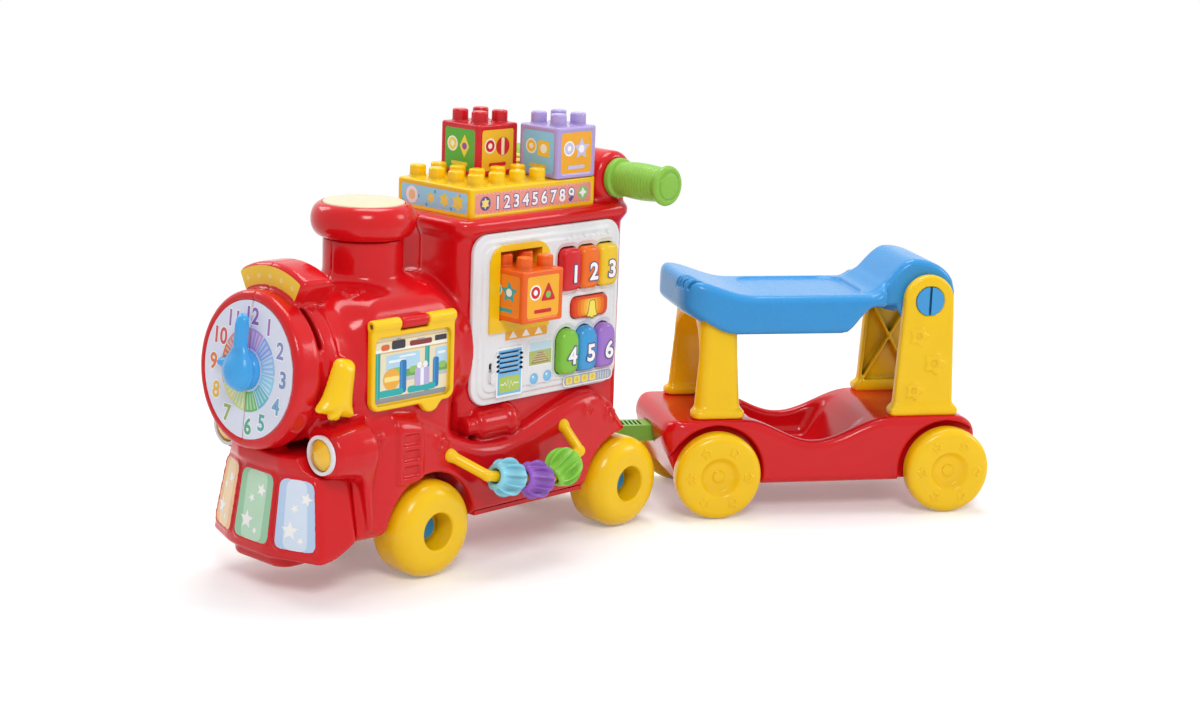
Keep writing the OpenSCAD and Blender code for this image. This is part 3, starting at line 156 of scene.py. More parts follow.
# Red body of the locomotive
# Two thick moulded halves in glossy red plastic: running boards, saddle, boiler, cab and hub in one skin.
# Screws from inside pull them together along the middle; each half laps it a little, so no groove shows.
loco = Matrix.Translation(hitch) @ Matrix.Scale(0.001, 4)
chassis_half = 76
chassis_foot = 46
nose_x = -384
tail_x = 12
tail_r = 104
tail_edge = 10
board_turns = ((-344.5, 152), (-219.5, 113), (-94.5, 142), (tail_x, 50))
board_round = 13
nose_rounds = ((112, 1), (142, 26))
cheek_run = 44
cheek_low = (34, 77)
cheek_high = (116, 61.6)
axles_x = (-300, -50)
axle_z = 44.5
bay_r = 52
bay_y = 36
carrier_r = 11
carrier_y = (16, 40)
saddle_x = (-378, -262)
saddle_half = 66
saddle_top = 268
saddle_foot = 70
saddle_rounds = (34, 40, 16)
boiler_r = 66
boiler_z = 198
clock_x = -446
clock_tilt = math.radians(5.4)
bezel_r = 69
bezel_back = 24
bezel_out = 2.5
dial_r = 60
band_x = -409
band_half = 7
band_up = 2.2
slit_x = -418.5
slit_turn = (math.radians(22), math.radians(58))
slit_half = 1.9
slit_floor_r = 61
sign_x = (-424, -390)
sign_r = (62, 91)
sign_half_turn = math.radians(31)
chimney_x = -320
neck_r = 36
neck_top = 302
neck_fillet = 14
cab_x = (-252, -38)
cab_half = 57
cab_round = 15
cab_foot = 80
roof_z = 314
eaves = 4
eaves_t = 10
handle_x = -50
handle_z = 340
hub_r = 25
hub_half = 52
stalk_half = 46
stalk_foot = 30
lamp_x = -418
lamp_y = 65.5
lamp_z = 131
pod_r = 21
pod_swell = 4
pod_slope = 0.16
pod_back = -374
bell_at = (-402, 206)
bell_back = 70.5
boss_r = 8
boss_in = 40
hinge_y = -71.9
hinge_z = 238
knuckle_x = (-339, -308)
barrel_r = 5.5
root_half = 3
root_in = -50
window_x = (-235, -61)
window_z = (152.5, 295)
window_deep = 32
panel_x = (-243, -53)
panel_z = (144.5, 303)
piston_x = (-238, -186)
piston_y = 59
piston_z = 127
piston_r = 14
nozzle_r = 9
nozzle_l = 11
collar_up = 2.5
collar_back = (16, 7)
niche_r = 32
shelf_z = 64
pan_x = (-244.7, -105.3)
pan_half = 72.7
pan_top = 50.6
strap_x = -327.5
strap_half = 15
strap_low = 92
strap_up = 3
rungs_z = (103, 117.5, 132)
rung_half = (9.5, 5)
ridge_top = (-377, 112)
ridge_foot = (-373, 60)
ridge_r = (5, 3)
ridge_in = 60
ridge_up = 2.2
relief_up = 2.3
side_marks = ((-362, 136, 8, 5), (-290, 122, 9, 6), (-72, 118, 10, 5), (-104, 125, 7, 6))
saddle_marks = ((-362, -34, 8, 5), (-278, -36, 9, 6), (-365, 30, 8, 6), (-279, 34, 8, 5))
marks_in = 50
marks_low = 240
cloud_scale = 38
gloss_scale = 70
peel_scale = 420
peel_deep = 0.0004
# Painted shade in creases and recesses: how far it reaches, and how dark it goes as a share of the colour.
painted_shade_reach = 0.009
painted_shade_dark = 0.3
sheen = 0.25
coat_rough = 0.08
joint_lap = 1.0
body_pitch = 1.6
even_rounds = 2


def fused(a, b, r):
    """Two forms in one, with a fillet of radius r where they meet."""
    return np.maximum(r, np.minimum(a, b)) - np.hypot(np.maximum(r - a, 0), np.maximum(r - b, 0))


def shared(a, b, r):
    """What two forms have in common, with its edge rounded to radius r."""
    return np.minimum(-r, np.maximum(a, b)) + np.hypot(np.maximum(r + a, 0), np.maximum(r + b, 0))


def carved(a, b, r):
    """Form a with form b cut out of it, and the rim of the cut rounded to radius r."""
    return shared(a, -b, r)


def common(*forms):
    """What several forms have in common, with sharp edges."""
    return functools.reduce(np.maximum, forms)


def between(u, low, high):
    """Distance to a slice from low to high."""
    return np.abs(u - (low + high) / 2) - (high - low) / 2


def across(half):
    """The span from -half to half."""
    return -half, half


def tile(u, v, u_span, v_span, r):
    """Distance to a rectangle with corners of radius r."""
    a = between(u, *u_span) + r
    b = between(v, *v_span) + r
    return np.hypot(np.maximum(a, 0), np.maximum(b, 0)) + np.minimum(np.maximum(a, b), 0) - r


def outline(u, v, points):
    """Distance to the closed outline through the points, negative inside."""
    nearest = np.inf
    inside = False
    for (au, av), (bu, bv) in zip(points, points[1:] + points[:1]):
        du, dv = bu - au, bv - av
        share = np.clip(((u - au) * du + (v - av) * dv) / (du * du + dv * dv), 0, 1)
        nearest = np.minimum(nearest, (u - au - share * du) ** 2 + (v - av - share * dv) ** 2)
        if av != bv:
            inside = inside ^ (((av > v) != (bv > v)) & (u < au + (v - av) * du / dv))
    return np.where(inside, -1, 1) * np.sqrt(nearest)


def limb(u, v, a, b, r_a, r_b):
    """Distance to a rounded bar from a to b that tapers from one radius to the other."""
    du, dv = b[0] - a[0], b[1] - a[1]
    share = np.clip(((u - a[0]) * du + (v - a[1]) * dv) / (du * du + dv * dv), 0, 1)
    return np.hypot(u - a[0] - share * du, v - a[1] - share * dv) - (r_a + (r_b - r_a) * share)


def blossom(u, v, at, r, leaves):
    """A plain round mark with rounded leaves about a hole."""
    away = np.hypot(u - at[0], v - at[1])
    turn = np.arctan2(v - at[1], u - at[0])
    return common(away - r * (0.82 + 0.18 * np.cos(leaves * turn)), 0.3 * r - away)


def blossoms(u, v, spots):
    """Several such marks in one form; each spot gives a place, a radius and a count of leaves."""
    return np.minimum.reduce([blossom(u, v, (a, b), r, leaves) for a, b, r, leaves in spots])


def mesh_piece(name, body, points, faces, materials, smooth=True):
    """A new piece from points in the frame's metres, riding on a body."""
    data = bpy.data.meshes.new(name)
    data.from_pydata(points, [], faces)
    data.validate()
    data.polygons.foreach_set("use_smooth", [smooth] * len(data.polygons))
    for material in materials:
        data.materials.append(material)
    piece = bpy.data.objects.new(name, data)
    bpy.context.scene.collection.objects.link(piece)
    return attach(piece, body)


def mould(name, body, at, spans, pitch, form, material):
    """A moulded skin: the surface where form(x, y, z) is zero, placed by a matrix and evened out a little."""
    rows = [np.arange(low - 2.5 * pitch, high + 3 * pitch, pitch) for low, high in spans]
    x, y, z = np.meshgrid(*rows, indexing="ij", sparse=True)
    field = np.broadcast_to(form(x, y, z), [len(row) for row in rows])
    grid = openvdb.FloatGrid(3 * pitch)
    grid.copyFromArray(np.clip(field, -3 * pitch, 3 * pitch).astype(np.float32))
    points, quads = grid.convertToQuads(isovalue=0)
    points = points.astype(float) * pitch + [row[0] for row in rows]
    ends = quads.astype(int)
    starts = np.concatenate([ends[:, k] for k in range(4)])
    nexts = np.concatenate([ends[:, (k + 1) % 4] for k in range(4)])
    count = np.maximum(np.bincount(starts, minlength=len(points)), 1)
    for _ in range(even_rounds):
        mean = [np.bincount(starts, points[nexts, k], len(points)) / count for k in range(3)]
        points = (points + np.stack(mean, 1)) / 2
    points = points @ np.array(at.to_3x3()).T + np.array(at.translation)
    return mesh_piece(name, body, points.tolist(), quads[:, ::-1].tolist(), [material])


def plastic(name, colour, rough, cloud=0.025, peel=0.012, coat=0.1):
    """Moulded plastic: faint clouds in the colour, painted shade in creases, uneven gloss and a tool's fine
    peel.
    """
    material = bpy.data.materials.new(name)
    material.use_nodes = True
    tree = material.node_tree
    shader = tree.nodes["Principled BSDF"]
    place = tree.nodes.new("ShaderNodeTexCoord").outputs["Object"]

    def noise(scale, detail):
        texture = set_inputs(tree.nodes.new("ShaderNodeTexNoise"), {"Scale": scale, "Detail": detail})
        link(tree, place, texture.inputs["Vector"])
        return texture.outputs["Fac"]

    tint = tree.nodes.new("ShaderNodeMix")
    tint.data_type = "RGBA"
    tint.inputs[6].default_value = [c * (1 - 2 * cloud) for c in colour] + [1]
    tint.inputs[7].default_value = [min(1, c * (1 + 2 * cloud)) for c in colour] + [1]
    link(tree, noise(cloud_scale, 2), tint.inputs["Factor"])
    # Painted shade: ambient occlusion darkens the colour towards a deep tone of itself in creases and
    # recesses.
    painted_shade_ao = set_inputs(tree.nodes.new("ShaderNodeAmbientOcclusion"), {"Distance": painted_shade_reach})
    painted_shade_ao.only_local = True
    painted_shade_ao.samples = 16
    in_open = set_inputs(tree.nodes.new("ShaderNodeMapRange"), {"From Min": 0.2, "From Max": 0.9})
    link(tree, painted_shade_ao.outputs["AO"], in_open.inputs["Value"])
    shade = tree.nodes.new("ShaderNodeMix")
    shade.data_type = "RGBA"
    shade.inputs[6].default_value = [painted_shade_dark * c for c in colour] + [1]
    link(tree, in_open.outputs["Result"], shade.inputs["Factor"])
    link(tree, tint.outputs[2], shade.inputs[7])
    link(tree, shade.outputs[2], shader.inputs["Base Color"])
    gloss = set_inputs(tree.nodes.new("ShaderNodeMapRange"),
                       {"From Min": 0.3, "From Max": 0.7, "To Min": rough * 0.92, "To Max": rough * 1.09})
    link(tree, noise(gloss_scale, 1), gloss.inputs["Value"])
    link(tree, gloss.outputs["Result"], shader.inputs["Roughness"])
    bump = set_inputs(tree.nodes.new("ShaderNodeBump"), {"Strength": peel, "Distance": peel_deep})
    link(tree, noise(peel_scale, 0), bump.inputs["Height"])
    link(tree, bump.outputs["Normal"], shader.inputs["Normal"])
    set_inputs(shader, {"Specular IOR Level": sheen, "Coat Weight": coat, "Coat Roughness": coat_rough})
    return material


def painted(node, material, edge=0.0):
    """A piece that keeps its construction mesh and takes a finish, its edges broken where edge is given."""
    piece = frame["nodes"][node]
    piece.data.materials.clear()
    piece.data.materials.append(material)
    if edge:
        bevel = piece.modifiers.new("broken_edge", "BEVEL")
        bevel.width = edge
        bevel.segments = 3
        bevel.limit_method = "ANGLE"
        bevel.angle_limit = math.radians(40)
        bevel.harden_normals = True


def board_height(x):
    """Height of the running board: long waves over the wheels and a dip between them."""
    for (x0, z0), (x1, z1) in zip(board_turns, board_turns[1:]):
        if x <= x1:
            return z0 + (z1 - z0) * (1 - math.cos(math.pi * max(0, (x - x0) / (x1 - x0)))) / 2


board_line = [(float(x), board_height(x)) for x in np.linspace(nose_x - 40, tail_x, 64)]
board_side = board_line + [(tail_x, chassis_foot), (nose_x - 40, chassis_foot)]


def clock_place(x, y, z):
    """Distance ahead of the dial's plane, and distance from the dial's axis."""
    ahead = (z - boiler_z) * math.sin(clock_tilt) - (x - clock_x) * math.cos(clock_tilt)
    up = (x - clock_x) * math.sin(clock_tilt) + (z - boiler_z) * math.cos(clock_tilt)
    return ahead, np.hypot(y, up)


def chassis_form(x, y, z):
    side = np.abs(y)
    lean = np.interp(z, [cheek_low[0], cheek_high[0]], [cheek_low[1], cheek_high[1]])
    share = np.clip((x - nose_x) / cheek_run, 0, 1)
    half = lean + (chassis_half - lean) * (1 - (1 - share) ** 2)
    form = shared(outline(x, z, board_side), side - half, board_round)
    nose_round = np.interp(z, [z for z, _ in nose_rounds], [r for _, r in nose_rounds])
    form = shared(form, nose_x - x, nose_round)
    form = shared(form, np.hypot(np.maximum(x - tail_x + tail_r, 0), y) - tail_r, tail_edge)
    strap = shared(shared(form - strap_up, np.abs(x - strap_x) - strap_half, 1.5), strap_low - z, 1.5)
    rung_x = (strap_x - rung_half[0], strap_x + rung_half[0])
    for rung_z in rungs_z:
        strap = carved(strap, tile(x, z, rung_x, (rung_z - rung_half[1], rung_z + rung_half[1]), 2), 0.6)
    ridge = limb(x, z, ridge_top, ridge_foot, *ridge_r)
    ridge = common(ridge, between(side, ridge_in, chassis_half + ridge_up))
    marks = shared(blossoms(x, z, side_marks), form - relief_up, 0.6)
    return fused(fused(fused(form, strap, 1), ridge, 2.5), common(marks, marks_in - side), 1)


def pod_side(x, side, z):
    """Distance to a lamp's pod, which swells backwards into the running board."""
    swell = np.clip(pod_slope * (x - lamp_x), 0, pod_swell)
    return np.hypot(side - lamp_y, z - lamp_z) - pod_r - swell


def front_form(x, y, z):
    """Saddle, boiler with its band and clock rim, the sign block, the chimney's neck and the bell studs."""
    side = np.abs(y)
    saddle = shared(tile(x, z, saddle_x, (chassis_foot, saddle_top), saddle_rounds[0]),
                    tile(y, z, across(saddle_half), (chassis_foot, saddle_top), saddle_rounds[1]),
                    saddle_rounds[2])
    saddle = shared(saddle, saddle_foot - z, 1)
    from_axis = np.hypot(y, z - boiler_z)
    boiler = shared(from_axis - boiler_r, between(x, clock_x + 10, cab_x[0] + 10), 2)
    band = shared(from_axis - boiler_r - band_up, np.abs(x - band_x) - band_half, 2)
    ahead, from_clock = clock_place(x, y, z)
    bezel = shared(from_clock - bezel_r, between(ahead, -bezel_back, bezel_out), 6)
    bezel = carved(bezel, common(from_clock - dial_r - 0.3, -ahead), 0.8)
    turn = np.abs(np.arctan2(y, z - boiler_z)) - sign_half_turn
    sign = shared(shared(between(from_axis, *sign_r), between(x, *sign_x), 6), turn * from_axis, 6)
    from_neck = np.hypot(x - chimney_x, y)
    neck = shared(from_neck - neck_r, between(z, saddle_top - 40, neck_top), 1)
    from_boss = np.hypot(x - bell_at[0], z - bell_at[1])
    stud = shared(from_boss - boss_r, between(side, boss_in, bell_back - 0.3), 1.5)
    form = fused(fused(saddle, boiler, 12), neck, neck_fillet)
    marks = shared(blossoms(x, y, saddle_marks), form - relief_up, 0.6)
    form = fused(form, common(marks, marks_low - z), 1)
    form = fused(fused(fused(form, band, 2), bezel, 3), sign, 4)
    slit = common(np.abs(x - slit_x) - slit_half, slit_floor_r - from_axis,
                  20 * between(np.arctan2(z - boiler_z, side), *slit_turn))
    return fused(carved(form, slit, 0.6), stud, 2)


def cab_form(x, y, z):
    cab = shared(tile(x, y, cab_x, across(cab_half), cab_round), between(z, cab_foot, roof_z), 3)
    roof_x = (cab_x[0] - eaves, cab_x[1] + eaves)
    roof_y = (-cab_half - eaves, cab_half + eaves)
    roof = shared(tile(x, y, roof_x, roof_y, cab_round), between(z, roof_z - eaves_t, roof_z), 4)
    stalk = tile(x, z, (handle_x - hub_r, roof_x[1]), (roof_z - stalk_foot, handle_z), 4)
    stalk = shared(stalk, np.abs(y) - stalk_half, 10)
    hub = shared(np.hypot(x - handle_x, z - handle_z) - hub_r, np.abs(y) - hub_half, 7)
    return fused(fused(fused(cab, roof, 9), stalk, 8), hub, 8)


def body_form(x, y, z):
    side = np.abs(y)
    front = front_form(x, y, z)
    from_piston = np.hypot(side - piston_y, z - piston_z)
    piston = shared(from_piston - piston_r, between(x, *piston_x), 5)
    nozzle = shared(from_piston - nozzle_r, between(x, piston_x[0] - nozzle_l, piston_x[0] + 10), 2)
    collar_x = (piston_x[1] - collar_back[0], piston_x[1] - collar_back[1])
    collar = shared(from_piston - piston_r - collar_up, between(x, *collar_x), 2)
    knuckle = shared(np.hypot(y - hinge_y, z - hinge_z) - barrel_r, between(x, *knuckle_x), 1)
    root = common(between(x, *knuckle_x), between(y, hinge_y, root_in), np.abs(z - hinge_z) - root_half)
    whole = fused(fused(chassis_form(x, y, z), front, 5), cab_form(x, y, z), 4)
    pods = shared(shared(pod_side(x, side, z), lamp_x - x, 5), x - pod_back, 5)
    whole = fused(fused(fused(whole, pods, 12), piston, 3), np.minimum(nozzle, collar), 1.5)
    whole = fused(whole, np.minimum(knuckle, root), 1.5)
    for axle in axles_x:
        from_axle = np.hypot(x - axle, z - axle_z)
        bay = common(from_axle - bay_r, bay_y - side)
        carrier = common(np.abs(x - axle) - carrier_r, between(z, axle_z, axle_z + bay_r))
        carrier = common(np.minimum(from_axle - carrier_r, carrier), between(side, *carrier_y))
        whole = np.minimum(carved(whole, bay, 2.5), carrier)
    whole = carved(whole, common(np.hypot(x, y) - niche_r, shelf_z - z), 2)
    pocket = common(between(x, *window_x), between(y, -cab_half - 9, -cab_half + window_deep),
                    between(z, *window_z))
    pan = common(between(x, *pan_x), side - pan_half, z - pan_top)
    plate = common(tile(x, z, panel_x, panel_z, 18) - 0.4, y + cab_half)
    return carved(carved(carved(whole, pocket, 0.5), plate, 0.3), pan, 0.5)


def right_form(x, y, z):
    return shared(body_form(x, y, z), y - joint_lap, 0.3)


def left_form(x, y, z):
    return shared(body_form(x, y, z), -joint_lap - y, 0.3)


red_plastic = plastic("red_plastic", (0.66, 0.006, 0.010), 0.16, coat=0.12)
body_x = (-450, tail_x)
body_half = 92
body_z = (chassis_foot, handle_z + hub_r)
right_spans = (body_x, (-body_half, 0), body_z)
right_half = mould("body_right", "locomotive", loco, right_spans, body_pitch, right_form, red_plastic)
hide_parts("shell_right")
left_spans = (body_x, (0, body_half), body_z)
left_half = mould("body_left", "locomotive", loco, left_spans, body_pitch, left_form, red_plastic)
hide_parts("shell_left")
for node in ("floor_pan", "battery_cover"):
    painted(node, red_plastic)

# Cowcatcher
# A red moulding screwed on under the clock, with three turned faces, a ledge along the top and a skid below.
# Each face carries a printed film in a shallow raised frame.
cow_back = -384.3
cow_foot = ((0, 77), (-44, 76), (-62, 28))
cow_top = ((0, 61.6), (-35.5, 61), (-49, 25))
cow_z = (34, 116)
corner_rise = 15
ledge_top = 126.2
ledge_line = ((0, 64.6), (-38.5, 64), (-52, 28))
skid_x = (-440, -400)
skid_half = 38
skid_z = (25, 44)
knob_at = (-424, -15)
knob_r = 6.5
knob_up = 4.5
rim_half = 1.2
rim_up = 1.3
film_in = 0.08
film_low = 0.14
film_high = 0.88
film_round = 8
film_lift = 0.5
white_ink = (0.95, 0.95, 0.93)


def cow_corner(line, index, side, z):
    return Vector((cow_back + line[index][0], side * line[index][1], z))


def cow_face(first, first_side, second, second_side):
    """Drawing plane of one face: its origin, right, up and out, and the face's corners in that plane."""
    ends = ((first, first_side), (second, second_side))
    low = [cow_corner(cow_foot, index, side, cow_z[0]) for index, side in ends]
    high = [cow_corner(cow_top, index, side, cow_z[1]) for index, side in ends]
    right = (low[1] - low[0]).normalized()
    out = right.cross(high[0] - low[0]).normalized()
    up = out.cross(right)
    corners = [((p - low[0]).dot(right), (p - low[0]).dot(up)) for p in (low[0], low[1], high[1], high[0])]
    return low[0], right, up, out, corners


def drawing(at, origin, right, up):
    """Matrix of a drawing plane in millimetres: right, up, and out of it towards the eye."""
    right = Vector(right)
    up = Vector(up)
    return at @ Matrix.Translation(origin) @ Matrix((right, up, right.cross(up))).transposed().to_4x4()


def softened(points, r, steps=5):
    """A closed outline with its corners rounded off over the length r."""
    soft = []
    for before, corner, after in zip(points[-1:] + points[:-1], points, points[1:] + points[:1]):
        a, c, b = Vector(before), Vector(corner), Vector(after)
        start = c + (a - c).normalized() * min(r, (a - c).length / 2)
        end = c + (b - c).normalized() * min(r, (b - c).length / 2)
        for k in range(steps + 1):
            t = k / steps
            soft.append(tuple(start * (1 - t) ** 2 + c * 2 * t * (1 - t) + end * t * t))
    return soft


def box_line(u0, u1, v0, v1, r=0):
    corners = [(u0, v0), (u1, v0), (u1, v1), (u0, v1)]
    return softened(corners, r) if r else corners


def spark_line(u, v, r, points=4, waist=0.38, turn=0.0):
    """A plain spark with straight sides, its first point upward."""
    line = []
    for k in range(2 * points):
        reach = r * (waist if k % 2 else 1)
        way = math.pi * k / points + turn
        line.append((u + reach * math.sin(way), v + reach * math.cos(way)))
    return line


inks = {}


def ink(colour):
    """Printing ink on film: matt, with the faint unevenness of the press."""
    if colour not in inks:
        name = "ink_%02x%02x%02x" % tuple(int(255 * c) for c in colour)
        inks[colour] = plastic(name, colour, 0.36, 0.03, 0.01, 0.0)
    return inks[colour]


def film(name, body, plane, layers):
    """Printed film, in layers: an ink, a height over the plane, and the outlines or numbers laid there."""
    points, faces, owners, materials = [], [], [], []
    for colour, level, shapes in layers:
        if ink(colour) not in materials:
            materials.append(ink(colour))
        for shape in shapes:
            line, cells = (shape, [range(len(shape))]) if isinstance(shape, list) else shape
            faces += [[len(points) + k for k in cell] for cell in cells]
            owners += [materials.index(ink(colour))] * len(cells)
            points += [plane @ Vector((u, v, level)) for u, v in line]
    piece = mesh_piece(name, body, points, faces, materials, smooth=False)
    piece.data.polygons.foreach_set("material_index", owners)
    return piece


cow_faces = [cow_face(2, 1, 2, -1), cow_face(2, -1, 1, -1), cow_face(1, 1, 2, 1), cow_face(1, -1, 0, -1),
             cow_face(0, 1, 1, 1)]
ledge = [(cow_back + a, b) for a, b in ledge_line] + [(cow_back + a, -b) for a, b in reversed(ledge_line)]


def film_line(corners):
    """Outline of the film on a face, inset from the face's corners by shares of its width and height."""
    a, b, c, d = [Vector(p) for p in corners]
    spots = []
    for u, v in box_line(film_in, 1 - film_in, film_low, film_high):
        spots.append(tuple(a.lerp(b, u).lerp(d.lerp(c, u), v)))
    return softened(spots, film_round)


def cow_form(x, y, z):
    def along(origin, way):
        return (x - origin.x) * way.x + (y - origin.y) * way.y + (z - origin.z) * way.z

    form = shared(between(z, *cow_z), x - cow_back, 0.5)
    for origin, _, _, out, _ in cow_faces:
        form = shared(form, along(origin, out), 5)
    rise = cow_z[0] + corner_rise * np.clip(1 - (cow_back - x) / 40, 0, 1) ** 1.5
    form = shared(form, rise - z, 4)
    lip = shared(shared(outline(x, y, ledge), between(z, cow_z[1] - 4, ledge_top), 4), x - cow_back, 0.5)
    skid = shared(tile(x, y, skid_x, across(skid_half), 16), between(z, *skid_z), 5)
    from_knob = np.hypot(x - knob_at[0], y - knob_at[1])
    knob = shared(from_knob - knob_r, between(z, ledge_top - 4, ledge_top + knob_up), 3)
    form = fused(fused(form, lip, 5), fused(skid, knob, 1), 3)
    for origin, right, up, out, corners in cow_faces[:3]:
        edge = outline(along(origin, right), along(origin, up), film_line(corners))
        rim = np.abs(edge - rim_half) - rim_half
        form = fused(form, shared(rim, np.abs(along(origin, out)) - rim_up, 0.8), 0.8)
    return carved(form, pod_side(x, np.abs(y), z) - 0.4, 0.6)


cow_spans = ((-450, cow_back), across(79), (24, ledge_top + 5))
cowcatcher = mould("cowcatcher_skin", "locomotive", loco, cow_spans, 1.4, cow_form, red_plastic)
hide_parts("cowcatcher")

face_inks = (((0.34, 0.62, 0.40), (0.52, 0.76, 0.56)), ((0.50, 0.66, 0.88), (0.70, 0.81, 0.94)),
             ((0.90, 0.54, 0.26), (0.96, 0.70, 0.42)))
spark_spots = ((0.36, 0.34, 9), (0.63, 0.69, 6.5), (0.58, 0.25, 3.5), (0.42, 0.58, 4.5))
for number, ((origin, right, up, out, corners), (edge_ink, mid_ink)) in enumerate(zip(cow_faces, face_inks)):
    line = film_line(corners)
    wide = corners[1][0]
    high = corners[2][1]
    band = film_line([(wide * 0.2, 0), (wide * 0.8, 0), (corners[2][0] - wide * 0.15, high),
                      (corners[3][0] + wide * 0.15, high)])
    sparks = [spark_line(wide * a, high * b, r, 5, 0.45, 0.25 * k) for k, (a, b, r) in enumerate(spark_spots)]
    plate = film(f"nose_film_{number + 1}", "locomotive", drawing(loco, origin, right, up),
                 [(edge_ink, film_lift, [line]), (mid_ink, film_lift + 0.06, [band]),
                  (white_ink, film_lift + 0.12, sparks)])
    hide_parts("nose_plates")

# Chimney
# A turned red ring drops onto the neck and holds a cream press pad that works a switch below.
# The ring is moulded hollow and rolled over at the rim; the pad is satin.
ring_low = 302.5
ring_top = 333
ring_r = 47
roll_r = 10
roll_up = 15
roll_z = 317.8
mouth_r = 36.9
ring_floor = 316
lip_r = 1.2
pad_r = 36.5
pad_z = (327, 334)


def arc(cu, cv, r, start, end, steps=8):
    """Points on an arc, from start to end in degrees."""
    turns = [math.radians(start + (end - start) * k / steps) for k in range(steps + 1)]
    return [(cu + r * math.cos(t), cv + r * math.sin(t)) for t in turns]


def turned(name, body, at, profile, material, steps=96):
    """A piece turned on its own axis from a profile of radius and height, closed where the radius is zero."""
    points, faces, rows = [], [], []
    for r, h in profile:
        count = steps if r > 1e-6 else 1
        rows.append(list(range(len(points), len(points) + count)))
        turns = [2 * math.pi * k / steps for k in range(count)]
        points += [at @ Vector((r * math.cos(t), r * math.sin(t), h)) for t in turns]
    for low, high in zip(rows, rows[1:]):
        for k in range(steps):
            ends = ((low, k), (low, k + 1), (high, k + 1), (high, k))
            faces.append(list(dict.fromkeys(row[spot % len(row)] for row, spot in ends)))
    piece = mesh_piece(name, body, points, faces, [material])
    piece.data.set_sharp_from_angle(angle=math.radians(40))
    return piece


on_chimney = loco @ Matrix.Translation((chimney_x, 0, 0))
ring_line = [(0, ring_floor), (mouth_r, ring_floor), (mouth_r, ring_top - lip_r)]
ring_line += arc(mouth_r + lip_r, ring_top - lip_r, lip_r, 180, 90, 4)
roll_turns = [math.radians(76 - 152 * k / 20) for k in range(21)]
ring_line += [(ring_r + roll_r * (math.cos(t) - 1), roll_z + roll_up * math.sin(t)) for t in roll_turns]
ring_line += [(neck_r - 1, ring_low), (0, ring_low)]
ring = turned("chimney_roll", "locomotive", on_chimney, ring_line, red_plastic)
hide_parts("chimney_ring")
cream_plastic = plastic("cream_plastic", (0.82, 0.68, 0.46), 0.35, 0.03, 0.03, 0.0)
pad_line = [(0, pad_z[0]), (pad_r, pad_z[0]), (pad_r, pad_z[1] - 1.6)]
pad_line += arc(pad_r - 1.6, pad_z[1] - 1.6, 1.6, 0, 90, 5) + [(0, pad_z[1] + 0.4)]
pad = turned("press_pad", "drum_top", on_chimney, pad_line, cream_plastic)
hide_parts("drum_top")

# Clock
# A pale printed dial in two halves behind the bezel, a steel spindle, and two soft blue hands pushed onto it.
# The numbers are printed round a ring of coloured hours; the hands turn freely by finger.
dial_face = 1.8
ring_in = 19
ring_out = 36.5
number_r = 47.8
number_h = 14.5
hours = (((0.42, 0.20, 0.50), (0.55, 0.34, 0.74)), ((0.28, 0.30, 0.60), (0.30, 0.42, 0.82)),
         ((0.22, 0.30, 0.55), (0.34, 0.58, 0.88)), ((0.20, 0.42, 0.62), (0.30, 0.66, 0.86)),
         ((0.12, 0.42, 0.42), (0.14, 0.52, 0.60)), ((0.10, 0.42, 0.26), (0.16, 0.52, 0.14)),
         ((0.36, 0.46, 0.14), (0.60, 0.74, 0.30)), ((0.85, 0.50, 0.06), (0.80, 0.76, 0.28)),
         ((0.80, 0.22, 0.08), (0.90, 0.50, 0.06)), ((0.76, 0.10, 0.10), (0.82, 0.20, 0.08)),
         ((0.42, 0.18, 0.46), (0.80, 0.30, 0.32)), ((0.36, 0.14, 0.46), (0.62, 0.28, 0.58)))
hand_z = (2.1, 9.4)
hand_r = 7.2
hub_out_r = 17
hand_bore = 4.4
minute_l = 42.5
hour_l = 33.5
hand_ridge = (22, 40)
hand_ridge_r = 2.6
bore_end = 17.8
blue_plastic = plastic("hand_blue", (0.06, 0.38, 0.80), 0.24)
dial_print = plastic("dial_white", (0.76, 0.78, 0.90), 0.3, 0.015, 0.01, 0.1)
steel = plastic("steel", (0.62, 0.62, 0.64), 0.28, 0.04, 0.05, 0.0)
steel.node_tree.nodes["Principled BSDF"].inputs["Metallic"].default_value = 1.0


def clock_line(r, turns):
    """Points at radius r, at turns clockwise from the top."""
    return [(r * math.sin(t), r * math.cos(t)) for t in turns]


def lettering(text, height, grow, u, v):
    """Numbers as flat shapes centred on u, v; grow thickens the strokes."""
    curve = bpy.data.curves.new("numbers", "FONT")
    curve.body = text
    curve.size = height * 1.36
    curve.offset = grow
    curve.resolution_u = 5
    curve.align_x = "CENTER"
    curve.fill_mode = "FRONT"
    holder = bpy.data.objects.new("numbers", curve)
    bpy.context.scene.collection.objects.link(holder)
    data = holder.to_mesh()
    line = [(p.co.x + u, p.co.y - height / 2 + v) for p in data.vertices]
    cells = [tuple(f.vertices) for f in data.polygons]
    holder.to_mesh_clear()
    bpy.data.objects.remove(holder)
    bpy.data.curves.remove(curve)
    return line, cells


